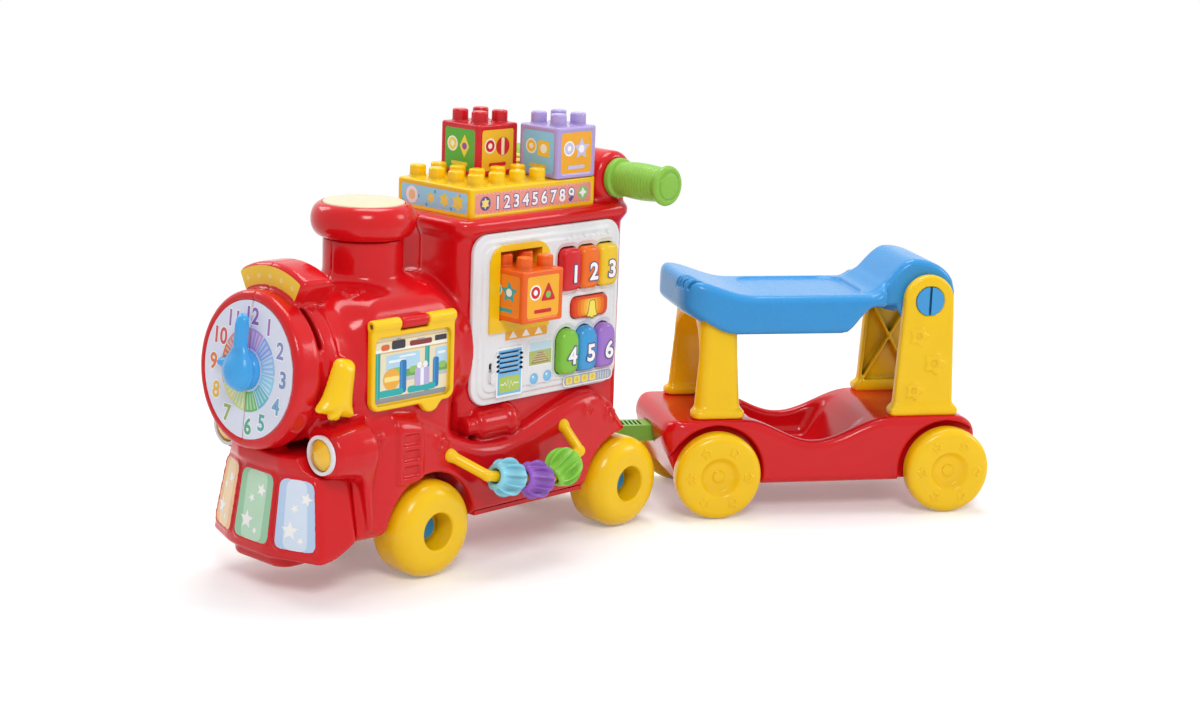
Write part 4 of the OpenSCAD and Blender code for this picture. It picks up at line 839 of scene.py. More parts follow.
painted("clock_dial", dial_print)
painted("clock_spindle", steel)
on_dial = drawing(loco, (clock_x, 0, boiler_z), (0, -1, 0), (math.sin(clock_tilt), 0, math.cos(clock_tilt)))
dial_layers = [((0.45, 0.03, 0.05), dial_face + 0.03, [box_line(-0.35, 0.35, -dial_r, dial_r)])]
for hour, (number_ink, ring_ink) in enumerate(hours):
    start = math.radians(30 * hour + 1)
    end = math.radians(30 * hour + 29)
    turns = [start + (end - start) * k / 8 for k in range(9)]
    wedge = clock_line(ring_out, turns) + clock_line(ring_in, turns[::-1])
    dial_layers.append((ring_ink, dial_face + 0.05, [wedge]))
    rays = []
    for share in (0.2, 0.5, 0.8):
        t = start + (end - start) * share
        low = Vector((math.sin(t), math.cos(t))) * (ring_in + 2)
        high = Vector((math.sin(t), math.cos(t))) * (ring_out - 2)
        wide = Vector((math.cos(t), -math.sin(t))) * 0.7
        ends = (low + wide, low - wide, high - 1.8 * wide, high + 1.8 * wide)
        rays.append([tuple(end) for end in ends])
    dial_layers.append((tuple(c + (1 - c) * 0.35 for c in ring_ink), dial_face + 0.09, rays))
    spot = math.radians(30 * (hour + 1))
    u = number_r * math.sin(spot) + (6 if hour == 5 else 0)
    v = number_r * math.cos(spot)
    text = str(hour + 1)
    dial_layers.append(((0.93, 0.94, 0.97), dial_face + 0.12, [lettering(text, number_h, 1.6, u, v)]))
    dial_layers.append((number_ink, dial_face + 0.17, [lettering(text, number_h, 0.55, u, v)]))
film("dial_numbers", "locomotive", on_dial, dial_layers)


def pillow(line, w, low, high, soft):
    """A flat-backed form over an outline, domed from its rim over the width soft."""
    rise = np.sqrt(1 - (1 - np.clip(-line / soft, 0, 1)) ** 2)
    return common(line, low - w, w - low - (high - low) * rise)


def minute_form(u, v, w):
    from_hub = np.hypot(u, v)
    plan = fused(from_hub - hub_out_r, limb(u, v, (0, 0), (0, minute_l), hand_r + 0.4, hand_r), 10)
    form = pillow(plan, w, hand_z[1], hand_z[1] + 7.5, 7)
    dome = np.sqrt(u * u + (v + 1) ** 2 + (1.15 * (w - 10)) ** 2) - hub_out_r + 0.5
    ridge = limb(u, v, (0, hand_ridge[0]), (0, hand_ridge[1]), hand_ridge_r, hand_ridge_r)
    ridge = shared(ridge, w - hand_z[1] - 8.6, 1)
    form = fused(fused(form, common(dome, hand_z[1] - w), 5), common(ridge, hand_z[1] - w), 1.5)
    form = carved(form, common(from_hub - hand_bore, w - bore_end), 0.3)
    return common(form, hand_z[1] - w)


def hour_form(u, v, w):
    from_hub = np.hypot(u, v)
    plan = fused(from_hub - hub_out_r - 0.4, limb(u, v, (0, 0), (-hour_l, 1), 12.5, 4.6), 7)
    return carved(pillow(plan, w, hand_z[0], hand_z[1] - 0.3, 6), from_hub - hand_bore, 0.2)


minute_spans = (across(18), (-19, 51), (8, 28))
minute = mould("minute_pointer", "minute_hand", on_dial, minute_spans, 0.8, minute_form, blue_plastic)
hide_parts("minute_hand")
hour_spans = ((-39, 19), across(19), (1, 10))
hour_piece = mould("hour_pointer", "hour_hand", on_dial, hour_spans, 0.7, hour_form, blue_plastic)
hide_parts("hour_hand")

# Board over the clock
# The arched front of the red block on the boiler takes a plain yellow film with a row of small pale marks.
# The film is die-cut to the arch and stuck into the moulding.
board_r = (70, 88)
board_mid = 79
board_turn = math.radians(28)
arch_turns = [-board_turn + 2 * board_turn * k / 20 for k in range(21)]
board_edge = clock_line(board_r[1], arch_turns) + clock_line(board_r[0], arch_turns[::-1])
mark_turns = arch_turns[2:-1:4]
mark_spots = clock_line(board_mid, mark_turns)
board_marks = [spark_line(*spot, 3.6, 4, 0.5, t) for spot, t in zip(mark_spots, mark_turns)]
film("arch_film", "locomotive", drawing(loco, (sign_x[0], 0, boiler_z), (0, -1, 0), (0, 0, 1)),
     [((0.90, 0.60, 0.05), 0.15, [softened(board_edge, 2.5, 3)]), ((0.93, 0.72, 0.22), 0.22, board_marks)])

# Headlamps
# White rings snapped into the red pods hold clear yellow domes.
# The rings are satin plastic, the domes thick and glossy.
white_plastic = plastic("white_plastic", (0.80, 0.80, 0.82), 0.28, 0.015, 0.015, 0.2)
lamp_yellow = plastic("lamp_yellow", (0.88, 0.52, 0.02), 0.12, 0.05, 0.01, 0.6)
painted("lamp_rings", white_plastic, 0.0007)
painted("lamp_lenses", lamp_yellow)

# Bells
# A yellow half-bell hangs on a stud at each side of the boiler and swings a little.
# Each is moulded soft and domed, open at the back, with its clapper in one piece with it.
bell_low_r = 20
bell_h = 54
bell_crown = 0.16
bell_lean = math.radians(15)
bell_soft = 16
bell_thick = 12
bell_side = ((0, 0.2), (0.01, 0.36), (0.05, 0.5), (0.12, 0.58), (0.26, 0.64), (0.42, 0.69), (0.58, 0.76),
             (0.7, 0.85), (0.8, 1.0), (0.86, 1.05), (0.9, 1.0), (0.92, 0.88), (0.92, 0.3), (0.97, 0.28),
             (1, 0.16))
bell_spans = (across(30), (-52, 18), (0, bell_thick))
yellow_plastic = plastic("yellow_plastic", (0.93, 0.58, 0.006), 0.2)
bell_line = [(s * bell_low_r, (bell_crown - h) * bell_h) for h, s in bell_side]
bell_line += [(-u, v) for u, v in reversed(bell_line)]


def right_bell(u, v, w):
    turned_u = u * math.cos(bell_lean) - v * math.sin(bell_lean)
    turned_v = u * math.sin(bell_lean) + v * math.cos(bell_lean)
    return pillow(outline(turned_u, turned_v, bell_line), w, 0, bell_thick, bell_soft)


def left_bell(u, v, w):
    return right_bell(-u, v, w)


for name, side, form in (("bell_right", -1, right_bell), ("bell_left", 1, left_bell)):
    plane = drawing(loco, (bell_at[0], side * bell_back, bell_at[1]), (-side, 0, 0), (0, 0, 1))
    bell = mould(name + "_casting", name, plane, bell_spans, 0.9, form, yellow_plastic)
    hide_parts(name)

# Side door
# A yellow door with a rolled edge hangs from two barrels on a steel pin, and lifts to show the saddle behind.
# Its sunk panel carries a printed view down a railway coach.
door_x = (-372, -275)
door_z = (162, 238)
door_y = (-74.9, -66.9)
panel_y = -70.2
door_bead = 4.6
door_corner = 9
tab_x = -302.2
tab_z = 164
tab_r = 11
door_head = 11
pin_hole_r = 2.3
pane_x = (door_x[0] + door_bead + 0.6, door_x[1] - door_bead - 0.6)
pane_z = (door_z[0] + door_bead + 0.6, door_z[1] - door_head - 0.6)


def door_form(x, y, z):
    tab = np.hypot(x - tab_x, z - tab_z) - tab_r
    leaf = fused(tile(x, z, door_x, (door_z[0], door_z[1] + 2), door_corner), tab, 4)
    form = shared(leaf, between(y, *door_y), 2.6)
    sunk_x = (door_x[0] + door_bead, door_x[1] - door_bead)
    sunk = tile(x, z, sunk_x, (door_z[0] + door_bead, door_z[1] - door_head), 6)
    form = carved(form, shared(sunk, y - panel_y, 0.4), 1.5)
    from_pin = np.hypot(y - hinge_y, z - hinge_z)
    form = fused(form, shared(from_pin - barrel_r, between(x, *door_x), 1.5), 2)
    gap = common(between(x, knuckle_x[0] - 0.6, knuckle_x[1] + 0.6), hinge_z - barrel_r - 1 - z)
    return carved(carved(form, gap, 0.8), from_pin - pin_hole_r, 0.2)


door_spans = (door_x, (-78, -66), (152, 245))
door = mould("door_leaf", "side_door", loco, door_spans, 1.0, door_form, yellow_plastic)
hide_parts("side_door")
painted("door_pin", steel)
sky_ink = (0.46, 0.70, 0.88)
hedge_ink = (0.16, 0.42, 0.10)
pole_ink = (0.03, 0.36, 0.34)
seat_ink = (0.03, 0.20, 0.50)


def disc_line(u, v, r, count=28):
    turns = [2 * math.pi * k / count for k in range(count)]
    return [(u + r * math.cos(t), v + r * math.sin(t)) for t in turns]


def pane(u0, u1, v0, v1, r=0):
    """An outline drawn in shares of the door's picture."""
    at_u = [pane_x[0] + (pane_x[1] - pane_x[0]) * s for s in (u0, u1)]
    at_v = [pane_z[0] + (pane_z[1] - pane_z[0]) * s for s in (v0, v1)]
    return box_line(*at_u, *at_v, r)


def on_pane(line):
    """An outline drawn in millimetres from the picture's lower corner."""
    return [(u + pane_x[0], v + pane_z[0]) for u, v in line]


def side_plane(y):
    """Drawing plane that faces the activity side and stands at y."""
    return drawing(loco, (0, y, 0), (1, 0, 0), (0, 0, 1))


door_layers = [
    ((0.84, 0.76, 0.54), 0.05, [pane(0, 1, 0, 1, 5)]),
    ((0.30, 0.32, 0.34), 0.08, [pane(0.01, 0.99, 0.01, 0.09, 2)]),
    ((0.93, 0.93, 0.86), 0.08, [pane(0.0, 1.0, 0.77, 0.82)]),
    ((0.72, 0.50, 0.22), 0.11, [pane(0, 1, 0.755, 0.775), pane(0, 1, 0.93, 0.945)]),
    (sky_ink, 0.11, [pane(0.17, 0.62, 0.3, 0.72, 2), pane(0.83, 1, 0.3, 0.72, 2)]),
    ((0.86, 0.93, 0.97), 0.14, [pane(0.2, 0.42, 0.6, 0.64, 1), pane(0.34, 0.56, 0.66, 0.69, 1),
                                pane(0.86, 0.97, 0.62, 0.66, 1)]),
    (hedge_ink, 0.14, [pane(0.17, 0.62, 0.36, 0.47, 2), pane(0.83, 1, 0.36, 0.46, 2)]),
    ((0.30, 0.56, 0.14), 0.16, [pane(0.24, 0.4, 0.4, 0.52, 4), pane(0.48, 0.6, 0.4, 0.5, 3),
                                pane(0.88, 0.98, 0.4, 0.5, 3)]),
    ((0.55, 0.57, 0.58), 0.16, [pane(0.17, 0.62, 0.3, 0.36), pane(0.83, 1, 0.3, 0.36)]),
    (pole_ink, 0.18, [pane(0.03, 0.09, 0.09, 0.77), pane(0.69, 0.75, 0.09, 0.77)]),
    ((0.10, 0.52, 0.48), 0.2, [pane(0.045, 0.06, 0.09, 0.77), pane(0.705, 0.72, 0.09, 0.77)]),
    (seat_ink, 0.2, [pane(0.35, 0.44, 0.12, 0.62, 3), pane(0.8, 0.88, 0.12, 0.58, 3)]),
    ((0.03, 0.44, 0.44), 0.22, [pane(0.08, 0.4, 0.1, 0.2, 3), pane(0.46, 0.84, 0.1, 0.2, 3)]),
    ((0.06, 0.30, 0.62), 0.22, [pane(0.36, 0.385, 0.2, 0.6, 1), pane(0.81, 0.83, 0.2, 0.56, 1)]),
    ((0.05, 0.05, 0.06), 0.2, [pane(0.24, 0.42, 0.8, 0.93, 2), pane(0.82, 0.98, 0.83, 0.91, 1)]),
    ((0.26, 0.05, 0.05), 0.2, [pane(0.48, 0.78, 0.81, 0.89, 2)]),
    ((0.75, 0.16, 0.05), 0.2, [pane(0.1, 0.21, 0.8, 0.89, 3)]),
    ((0.36, 0.36, 0.38), 0.24, [pane(0.3, 0.36, 0.93, 0.955), pane(0.58, 0.68, 0.885, 0.905)]),
    ((0.90, 0.44, 0.06), 0.26, [on_pane(disc_line(21, 21, 9.5))]),
    ((0.96, 0.80, 0.30), 0.28, [on_pane(box_line(12.5, 29.5, 19, 23.5, 1.5))]),
    ((0.52, 0.46, 0.74), 0.26, [on_pane(box_line(48, 65, 11, 27, 2))]),
    ((0.90, 0.90, 0.94), 0.28, [on_pane(box_line(54.5, 58.5, 11, 27)), on_pane(disc_line(53, 29.5, 3)),
                                on_pane(disc_line(60, 29.5, 3))])]
film("door_picture", "side_door", side_plane(panel_y), door_layers)

# Activity panel
# A white moulded plate stands in a window of the cab, its rim stepped in twice and screwed from behind.
# It holds the keys, the dock, the slider and the louvres of the speaker; a circuit board is posted behind it.
plate_y = -57.3
plate_steps = ((0, 18, -62.3), (6, 13, -63.9), (12, 9, -65.3))
skin_back = -62.3
face_y = -65.3
groove_y = -64.5
well_y = -64.0
slide_y = -64.4
keys_x = -100.1
key_pitch = 24.8
key_half = 12
top_keys = (241.3, 281.3)
low_keys = (161.8, 204.8)
key_round = 6.5
ring_key_x = (-119.6, -72.6)
ring_key_z = (213.1, 233.1)
slider_x = (-224.2, -218.2)
slider_z = (165.1, 184.1)
label_x = (-214.5, -181)
label_z = (150.5, 196.5)
louvre_x = (-210.5, -185.5)
louvre_z = 172.6
louvre_high = 1.3
louvre_pitch = 4.5
louvres = 5
dock_x = -188.66
dock_half = 26.4
dock_z = (223.47, 286.57)
dock_wall = 1.5
screen_x = (-174, -143)
screen_z = (174, 198)
stop_spots = ((-166, 162), (-148.4, 162.7))
strip_x = (-127, -60)
sign_z = (149.8, 156.8)
label_frame_z = (149, 198)
screen_frame_z = (154, 200)
track_half = (12, 3.5)
track_z = (176.5, 186.5)
arrow_z = (204.6, 211.4)


def key_plan(x, z, column, row):
    """Outline of a key: round-cornered in the top row, arched in the low row."""
    middle = keys_x + column * key_pitch
    span = (middle - key_half, middle + key_half)
    if row == 0:
        return tile(x, z, span, top_keys, key_round)
    arched = np.hypot(x - middle, z - low_keys[1] + key_half) - key_half
    return np.minimum(tile(x, z, span, (low_keys[0], low_keys[1] - 9), key_round), arched)


def panel_form(x, y, z):
    form = 1e3
    for inset, r, front in plate_steps:
        step_x = (panel_x[0] + inset, panel_x[1] - inset)
        step = tile(x, z, step_x, (panel_z[0] + inset, panel_z[1] - inset), r)
        form = np.minimum(form, shared(step, between(y, front, plate_y), 1.0))
    frames = (((label_x[0] - 2, label_x[1] + 2), label_frame_z, 13),
              ((screen_x[0] - 3, screen_x[1] + 3), screen_frame_z, 6))
    for span, up, r in frames:
        form = carved(form, shared(np.abs(tile(x, z, span, up, r)) - 0.8, y - groove_y, 0.3), 0.3)
    inside = tile(x, z, (panel_x[0] + 8, panel_x[1] - 8), (panel_z[0] + 8, panel_z[1] - 8), 6)
    form = common(form, -common(inside, skin_back - y))
    for row in (0, 1):
        group = np.minimum.reduce([key_plan(x, z, column, row) for column in (-1, 0, 1)])
        well = shared(group - 4, y - well_y, 0.6)
        form = carved(carved(form, well, 0.8), group - 0.6, 0.4)
    form = carved(form, tile(x, z, ring_key_x, ring_key_z, 6) - 0.6, 0.4)
    form = carved(form, shared(tile(x, z, slider_x, slider_z, 2), y - slide_y, 0.3), 0.3)
    form = carved(form, tile(x, z, (slider_x[0] + 1.6, slider_x[1] - 1.6), slider_z, 1), 0.2)
    for k in range(louvres):
        low = louvre_z + k * louvre_pitch
        form = carved(form, tile(x, z, louvre_x, (low, low + louvre_high), 0.8), 0.2)
    room = dock_wall + 0.4
    wide = (dock_x - dock_half - room, dock_x + dock_half + room)
    tall = (dock_z[0] - room, dock_z[1] + room)
    return carved(form, tile(x, z, wide, tall, 1), 0.3)


panel_spans = (panel_x, (face_y, plate_y), panel_z)
panel = mould("panel_plate", "locomotive", loco, panel_spans, 0.9, panel_form, white_plastic)
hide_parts("activity_panel")
board_green = plastic("board_green", (0.03, 0.20, 0.08), 0.4, 0.1, 0.05)
dark_plastic = plastic("dark_plastic", (0.02, 0.02, 0.025), 0.35, 0.08, 0.05, 0.0)
painted("circuit_board", board_green)
painted("speaker", dark_plastic)
on_panel = side_plane(face_y)
blue_ink = (0.20, 0.52, 0.84)
pale_ink = (0.90, 0.91, 0.93)
grey_ink = (0.38, 0.42, 0.50)
yellow_ink = (0.90, 0.76, 0.16)
slots_low = [louvre_z + k * louvre_pitch - 0.2 for k in range(louvres)]
slots_high = [low + louvre_high + 0.4 for low in slots_low]
slat_rows = list(zip([label_z[0] + 2] + slots_high, slots_low + [label_z[1] - 2]))
label_rows = list(zip([label_z[0]] + slots_high, slots_low + [label_z[1]]))
label_u = (label_x[0] + 2, label_x[1] - 2)
blues = [box_line(*label_u, low, high) for low, high in slat_rows]
borders = [box_line(*label_x, low, high, 2) for low, high in label_rows]
for lines, (start, end) in ((borders, label_x), (blues, label_u)):
    lines.append(box_line(start, louvre_x[0] - 0.2, slots_low[0], slots_high[-1]))
    lines.append(box_line(louvre_x[1] + 0.2, end, slots_low[0], slots_high[-1]))
wave_up = (0, 0.2, 0, 0.5, -0.3, 1, -0.9, 0.7, -0.4, 0.3, 0, 0.15, 0)
wave_line = [(label_x[0] + 5.5 + 1.9 * k, 161.6 + 4.6 * up) for k, up in enumerate(wave_up)]
wave_band = [(u, v + 0.55) for u, v in wave_line] + [(u, v - 0.55) for u, v in reversed(wave_line)]
screen_in = (screen_x[0] + 1, screen_x[1] - 1)
screen_mid = sum(screen_x) / 2
track_ends = ((-1, 0), (1, 0), (1, 1), (-1, 1))
track_line = [(screen_mid + way * track_half[k], track_z[k]) for way, k in track_ends]
ties = []
for k in range(4):
    half = 9 - 0.9 * k
    ties.append(box_line(screen_mid - half, screen_mid + half, 178 + 2.2 * k, 178.9 + 2.2 * k))
sign_u = [strip_x[0] + 4 + 10.5 * k for k in range(4)]
signs = [box_line(u, u + 8.5, *sign_z, 1.2) for u in sign_u]
bar_u = [strip_x[0] + 47 + 3.4 * k for k in range(5)]
bars = [box_line(u, u + 1.3, *sign_z) for u in bar_u]
arrow_u = [dock_x - 6 + 16.5 * k for k in range(3)]
arrows = [[(u - 5, arrow_z[0]), (u + 5, arrow_z[0]), (u, arrow_z[1])] for u in arrow_u]
panel_layers = [
    (pale_ink, 0.05, borders),
    (blue_ink, 0.09, blues),
    ((0.05, 0.26, 0.60), 0.11, [box_line(*label_u, low, low + 0.9) for low in slots_high]),
    ((0.46, 0.62, 0.12), 0.13, [box_line(label_x[0] + 3.6, label_x[1] - 3.6, 154.6, 169.4, 3)]),
    ((0.93, 0.95, 0.90), 0.16, [wave_band]),
    (pale_ink, 0.05, [box_line(*screen_x, *screen_z, 2)]),
    ((0.56, 0.76, 0.84), 0.08, [box_line(*screen_in, screen_z[0] + 1, screen_z[1] - 1, 1)]),
    ((0.44, 0.52, 0.16), 0.1, [box_line(*screen_in, screen_z[0] + 1, 188.5)]),
    ((0.36, 0.24, 0.10), 0.12, [track_line]),
    ((0.66, 0.56, 0.36), 0.14, ties),
    ((0.74, 0.76, 0.78), 0.04, [disc_line(u, v, 6.8) for u, v in stop_spots]),
    (blue_ink, 0.08, [disc_line(u, v, 5.4) for u, v in stop_spots]),
    ((0.26, 0.56, 0.86), 0.12, [disc_line(u - 0.6, v + 0.8, 3.2) for u, v in stop_spots]),
    (white_ink, 0.15, [disc_line(u - 1.4, v + 2, 1.2) for u, v in stop_spots]),
    (pale_ink, 0.05, [box_line(*strip_x, 147.6, 159, 5.5)]),
    (grey_ink, 0.09, [box_line(strip_x[0] + 1.3, strip_x[1] - 1.3, 148.8, 157.8, 4.6)]),
    (yellow_ink, 0.12, signs),
    ((0.86, 0.56, 0.08), 0.15, [disc_line(u + 4.3, 153.3, 2.2) for u in sign_u]),
    ((0.66, 0.70, 0.76), 0.12, bars),
    ((0.88, 0.42, 0.04), 0.08, [box_line(dock_x - 16, dock_x + 38, 203, 216, 1.5)]),
    (white_ink, 0.12, arrows)]
film("panel_prints", "locomotive", on_panel, panel_layers)
cloth_line = box_line(louvre_x[0] - 1.5, louvre_x[1] + 1.5, slots_low[0] - 2, slots_high[-1] + 2)
film("speaker_cloth", "locomotive", side_plane(skin_back + 0.4), [((0.05, 0.26, 0.60), 0.05, [cloth_line])])
# Painted shade and highlight: flat grey dots, each under a paler copy shifted up and to the left, drawn to
# look like a row of raised beads.
beads_line = [disc_line(-128 + 8 * k, 290 + 1.4 * (k % 2), 1.7) for k in range(8)]
film("panel_bead_shading", "locomotive", on_panel,
     [((0.62, 0.63, 0.67), 0.1, beads_line),
      ((0.84, 0.84, 0.86), 0.3, [[(u - 0.45, v + 0.45) for u, v in line] for line in beads_line])])

# Keys and slider
# Six piano-like keys, a wide bell key and a small slider, each in its own colour and sprung from behind.
# Numbers are printed white with a dark edge on the lower half of each key.
key_looks = (("red_plastic", (0.66, 0.012, 0.02)), ("orange_plastic", (0.86, 0.16, 0.01)),
             ("yellow_plastic", (0.88, 0.58, 0.02)), ("green_plastic", (0.22, 0.56, 0.05)),
             ("blue_plastic", (0.05, 0.34, 0.72)), ("purple_plastic", (0.36, 0.18, 0.60)))
key_dark = (0.10, 0.08, 0.22)
key_white = (0.95, 0.95, 0.97)
key_text = 16.5
key_out = 9
ring_key_out = 3
key_back = -62.4
key_end = -62
key_bow = (2.0, 1.6)
key_bow_z = 20
for number, (slot, colour) in enumerate(key_looks):
    row = number // 3
    column = number % 3 - 1
    middle = keys_x + column * key_pitch
    low, high = (top_keys, low_keys)[row]
    name = f"key_{number + 1}"

    def key_form(x, y, z):
        front = face_y - key_out + key_bow[0] * ((x - middle) / key_half) ** 2
        front = front + key_bow[1] * ((z - (low + high) / 2) / key_bow_z) ** 2
        return shared(shared(key_plan(x, z, column, row), front - y, 3.6), y - key_back, 0.3)

    key_spans = ((middle - key_half, middle + key_half), (face_y - key_out, key_end), (low, high))
    key = mould(f"key_cap_{number + 1}", name, loco, key_spans, 0.8, key_form,
                plastic(f"key_finish_{number + 1}", colour, 0.18, coat=0.2))
    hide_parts(name)
    up = low + 0.43 * (high - low)
    film(f"key_number_{number + 1}", name, side_plane(face_y - key_out + 0.5),
         [(key_dark, 0.6, [lettering(str(number + 1), key_text, 1.7, middle + 1, up)]),
          (key_white, 0.68, [lettering(str(number + 1), key_text, 0.7, middle + 1, up)])])


def ring_key_form(x, y, z):
    return shared(tile(x, z, ring_key_x, ring_key_z, 6), between(y, face_y - ring_key_out, key_back), 1.2)


ring_key_red = plastic("bell_key_red", (0.70, 0.05, 0.01), 0.25)
ring_key_spans = (ring_key_x, (face_y - ring_key_out, key_end), ring_key_z)
ring_key = mould("bell_key_cap", "bell_key", loco, ring_key_spans, 0.9, ring_key_form, ring_key_red)
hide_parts("bell_key")
glow_inks = ((0.74, 0.07, 0.01), (0.82, 0.17, 0.01), (0.88, 0.30, 0.02), (0.92, 0.45, 0.04),
             (0.94, 0.60, 0.10))
glow_layers = []
for k, colour in enumerate(glow_inks):
    step = 1.4 + 4.2 * k
    glow_line = box_line(ring_key_x[0] + step, ring_key_x[1] - step, ring_key_z[0] + 1.4 + 0.4 * k,
                         ring_key_z[1] - 1.4 - 0.4 * k, 6)
    glow_layers.append((colour, 0.06 + 0.03 * k, [glow_line]))
icon_at = (sum(ring_key_x) / 2 + 2, sum(ring_key_z) / 2 + 2.8)
icon_dark = [(icon_at[0] + 0.37 * u, icon_at[1] + 0.34 * v + 0.4) for u, v in bell_line]
icon_pale = [(icon_at[0] + 0.30 * u, icon_at[1] + 0.30 * v) for u, v in bell_line]
glow_layers += [((0.24, 0.10, 0.02), 0.2, [icon_dark]), ((0.96, 0.78, 0.12), 0.23, [icon_pale])]
film("bell_key_print", "bell_key", side_plane(face_y - ring_key_out), glow_layers)
painted("mode_slider", white_plastic, 0.0006)

# Dock and blocks
# A yellow liner in the panel takes a block from the front; two more blocks stand on the roof plate.
# Blocks are thin-walled cubes with four studs, their sides sunk for printed film.
block_half = 25.8
block_high = 48
block_in = 20.8
stud_r = 7.5
stud_high = 11.5
stud_pitch = 26
film_half = 20.8
film_z = (3.9, 44)
film_deep = 0.8
painted("dock_liner", yellow_plastic, 0.0005)


def block_form(x, y, z):
    span = across(block_half)
    form = shared(tile(x, y, span, span, 3), between(z, 0, block_high), 1.6)
    for u, v in ((x, y), (y, x)):
        sunk = shared(tile(u, z, across(film_half), film_z, 3), block_half - film_deep - np.abs(v), 0.2)
        form = carved(form, sunk, 0.7)
    from_stud = np.hypot(np.abs(x) - stud_pitch / 2, np.abs(y) - stud_pitch / 2)
    stud = shared(from_stud - stud_r, between(z, 20, block_high + stud_high), 1.6)
    form = fused(form, common(stud, block_high - 3 - z), 1.2)
    room = tile(x, y, across(block_in), across(block_in), 2)
    return common(form, -common(room, z - block_high + 3))


figures = {"ball": [disc_line(6.5, 27, 8.6)], "kite": [spark_line(6.5, 27, 10.8, 2, 0.6)],
           "tile": [box_line(-1, 14, 19.5, 34.5, 2)], "spark": [spark_line(6.5, 27, 10.8, 5, 0.5)],
           "hill": [softened([(-3, 19.5), (16, 19.5), (6.5, 37)], 3)]}
figure_marks = {"ball": [box_line(4.6, 8.4, 18.9, 35.1, 1)], "kite": [disc_line(6.5, 27, 3.2)],
                "tile": [disc_line(6.5, 27, 4.3)], "spark": [disc_line(6.5, 27, 3.7)],
                "hill": [disc_line(6.5, 25, 3.2)]}


def side_motif(kind, first, second):
    """A plain figure beside a plain mark, in the drawing plane of a block's side."""
    return [(white_ink, 0.1, [disc_line(-9.8, 28, 7.1)]),
            (first, 0.14, [disc_line(-9.8, 28, 5.6), box_line(-11, 11, 8.6, 12.1, 1.5)]),
            (white_ink, 0.18, [disc_line(-9.8, 28, 2.6)]),
            (first, 0.14, figures[kind]),
            (second, 0.18, figure_marks[kind])]


blocks = (("block_red", (-156.5, 26, 343.6), "red_plastic", (0.62, 0.012, 0.02),
           (((0.12, 0.46, 0.05), "kite", (0.92, 0.72, 0.08), (0.30, 0.10, 0.42)),
            ((0.93, 0.55, 0.03), "ball", (0.66, 0.02, 0.03), (0.96, 0.86, 0.60)),
            ((0.30, 0.56, 0.80), "hill", (0.93, 0.75, 0.10), (0.10, 0.25, 0.55)),
            ((0.93, 0.75, 0.10), "tile", (0.20, 0.45, 0.70), (0.90, 0.90, 0.92)))),
          ("block_purple", (-104.5, -26, 343.6), "lilac_plastic", (0.46, 0.36, 0.70),
           (((0.28, 0.62, 0.90), "tile", (0.90, 0.60, 0.06), (0.96, 0.92, 0.80)),
            ((0.92, 0.42, 0.04), "spark", (0.62, 0.56, 0.82), (0.96, 0.96, 0.98)),
            ((0.55, 0.75, 0.25), "ball", (0.70, 0.10, 0.10), (0.95, 0.85, 0.3)),
            ((0.92, 0.62, 0.62), "hill", (0.35, 0.25, 0.62), (0.95, 0.95, 0.7)))),
          ("block_orange", (dock_x, -71.7, 224.07), "orange_plastic", (0.84, 0.13, 0.01),
           (((0.90, 0.26, 0.02), "spark", (0.04, 0.44, 0.42), (0.90, 0.95, 0.93)),
            ((0.93, 0.44, 0.03), "hill", (0.62, 0.02, 0.03), (0.25, 0.55, 0.10)),
            ((0.93, 0.66, 0.08), "tile", (0.10, 0.35, 0.60), (0.95, 0.92, 0.85)),
            ((0.35, 0.62, 0.82), "ball", (0.90, 0.45, 0.05), (0.95, 0.95, 0.9)))))
film_edge = box_line(-film_half + 0.6, film_half - 0.6, film_z[0] + 0.6, film_z[1] - 0.6, 3)
block_spans = (across(block_half), across(block_half), (0, block_high + stud_high))
for name, centre, slot, colour, sides in blocks:
    at = loco @ Matrix.Translation(centre)
    finish = plastic(name + "_finish", colour, 0.22)
    cube = mould(name + "_moulding", name, at, block_spans, 0.95, block_form, finish)
    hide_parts(name)
    for turn, (base, kind, first, second) in enumerate(sides):
        quarter = at @ Matrix.Rotation(math.radians(-90 + 90 * turn), 4, "Z")
        plane = drawing(quarter, (0, -block_half + film_deep, 0), (1, 0, 0), (0, 0, 1))
        layers = [(base, 0.06, [film_edge])] + side_motif(kind, first, second)
        film(f"{name}_film_{turn + 1}", name, plane, layers)

# Roof plate
# A hollow yellow plate with four rows of studs, screwed down on the cab roof.
# Its long side carries a printed row of numbers and its front end a light film.
roof_plate_x = (-237, -76)
roof_plate_y = (-50, 50)
roof_plate_z = (314.3, 343.3)
stud_start = (-221.5, -39)
stud_cols = 6
stud_rows = 4
print_in = 4.5
print_deep = 0.8


def roof_plate_form(x, y, z):
    form = shared(tile(x, y, roof_plate_x, roof_plate_y, 3.5), between(z, *roof_plate_z), 1.6)
    film_span = (roof_plate_z[0] + 4, roof_plate_z[1] - 4)
    sides = tile(x, z, (roof_plate_x[0] + print_in, roof_plate_x[1] - print_in), film_span, 3.5)
    sides = shared(sides, roof_plate_y[1] - print_deep - np.abs(y), 0.2)
    ends = tile(y, z, (roof_plate_y[0] + print_in, roof_plate_y[1] - print_in), film_span, 3.5)
    ends = shared(ends, -print_deep - between(x, *roof_plate_x), 0.2)
    form = carved(carved(form, sides, 0.7), ends, 0.7)
    u = x - stud_start[0]
    v = y - stud_start[1]
    u = u - stud_pitch * np.clip(np.round(u / stud_pitch), 0, stud_cols - 1)
    v = v - stud_pitch * np.clip(np.round(v / stud_pitch), 0, stud_rows - 1)
    stud = shared(np.hypot(u, v) - stud_r, between(z, 320, roof_plate_z[1] + stud_high), 1.6)
    return fused(form, common(stud, roof_plate_z[1] - 3 - z), 1.2)


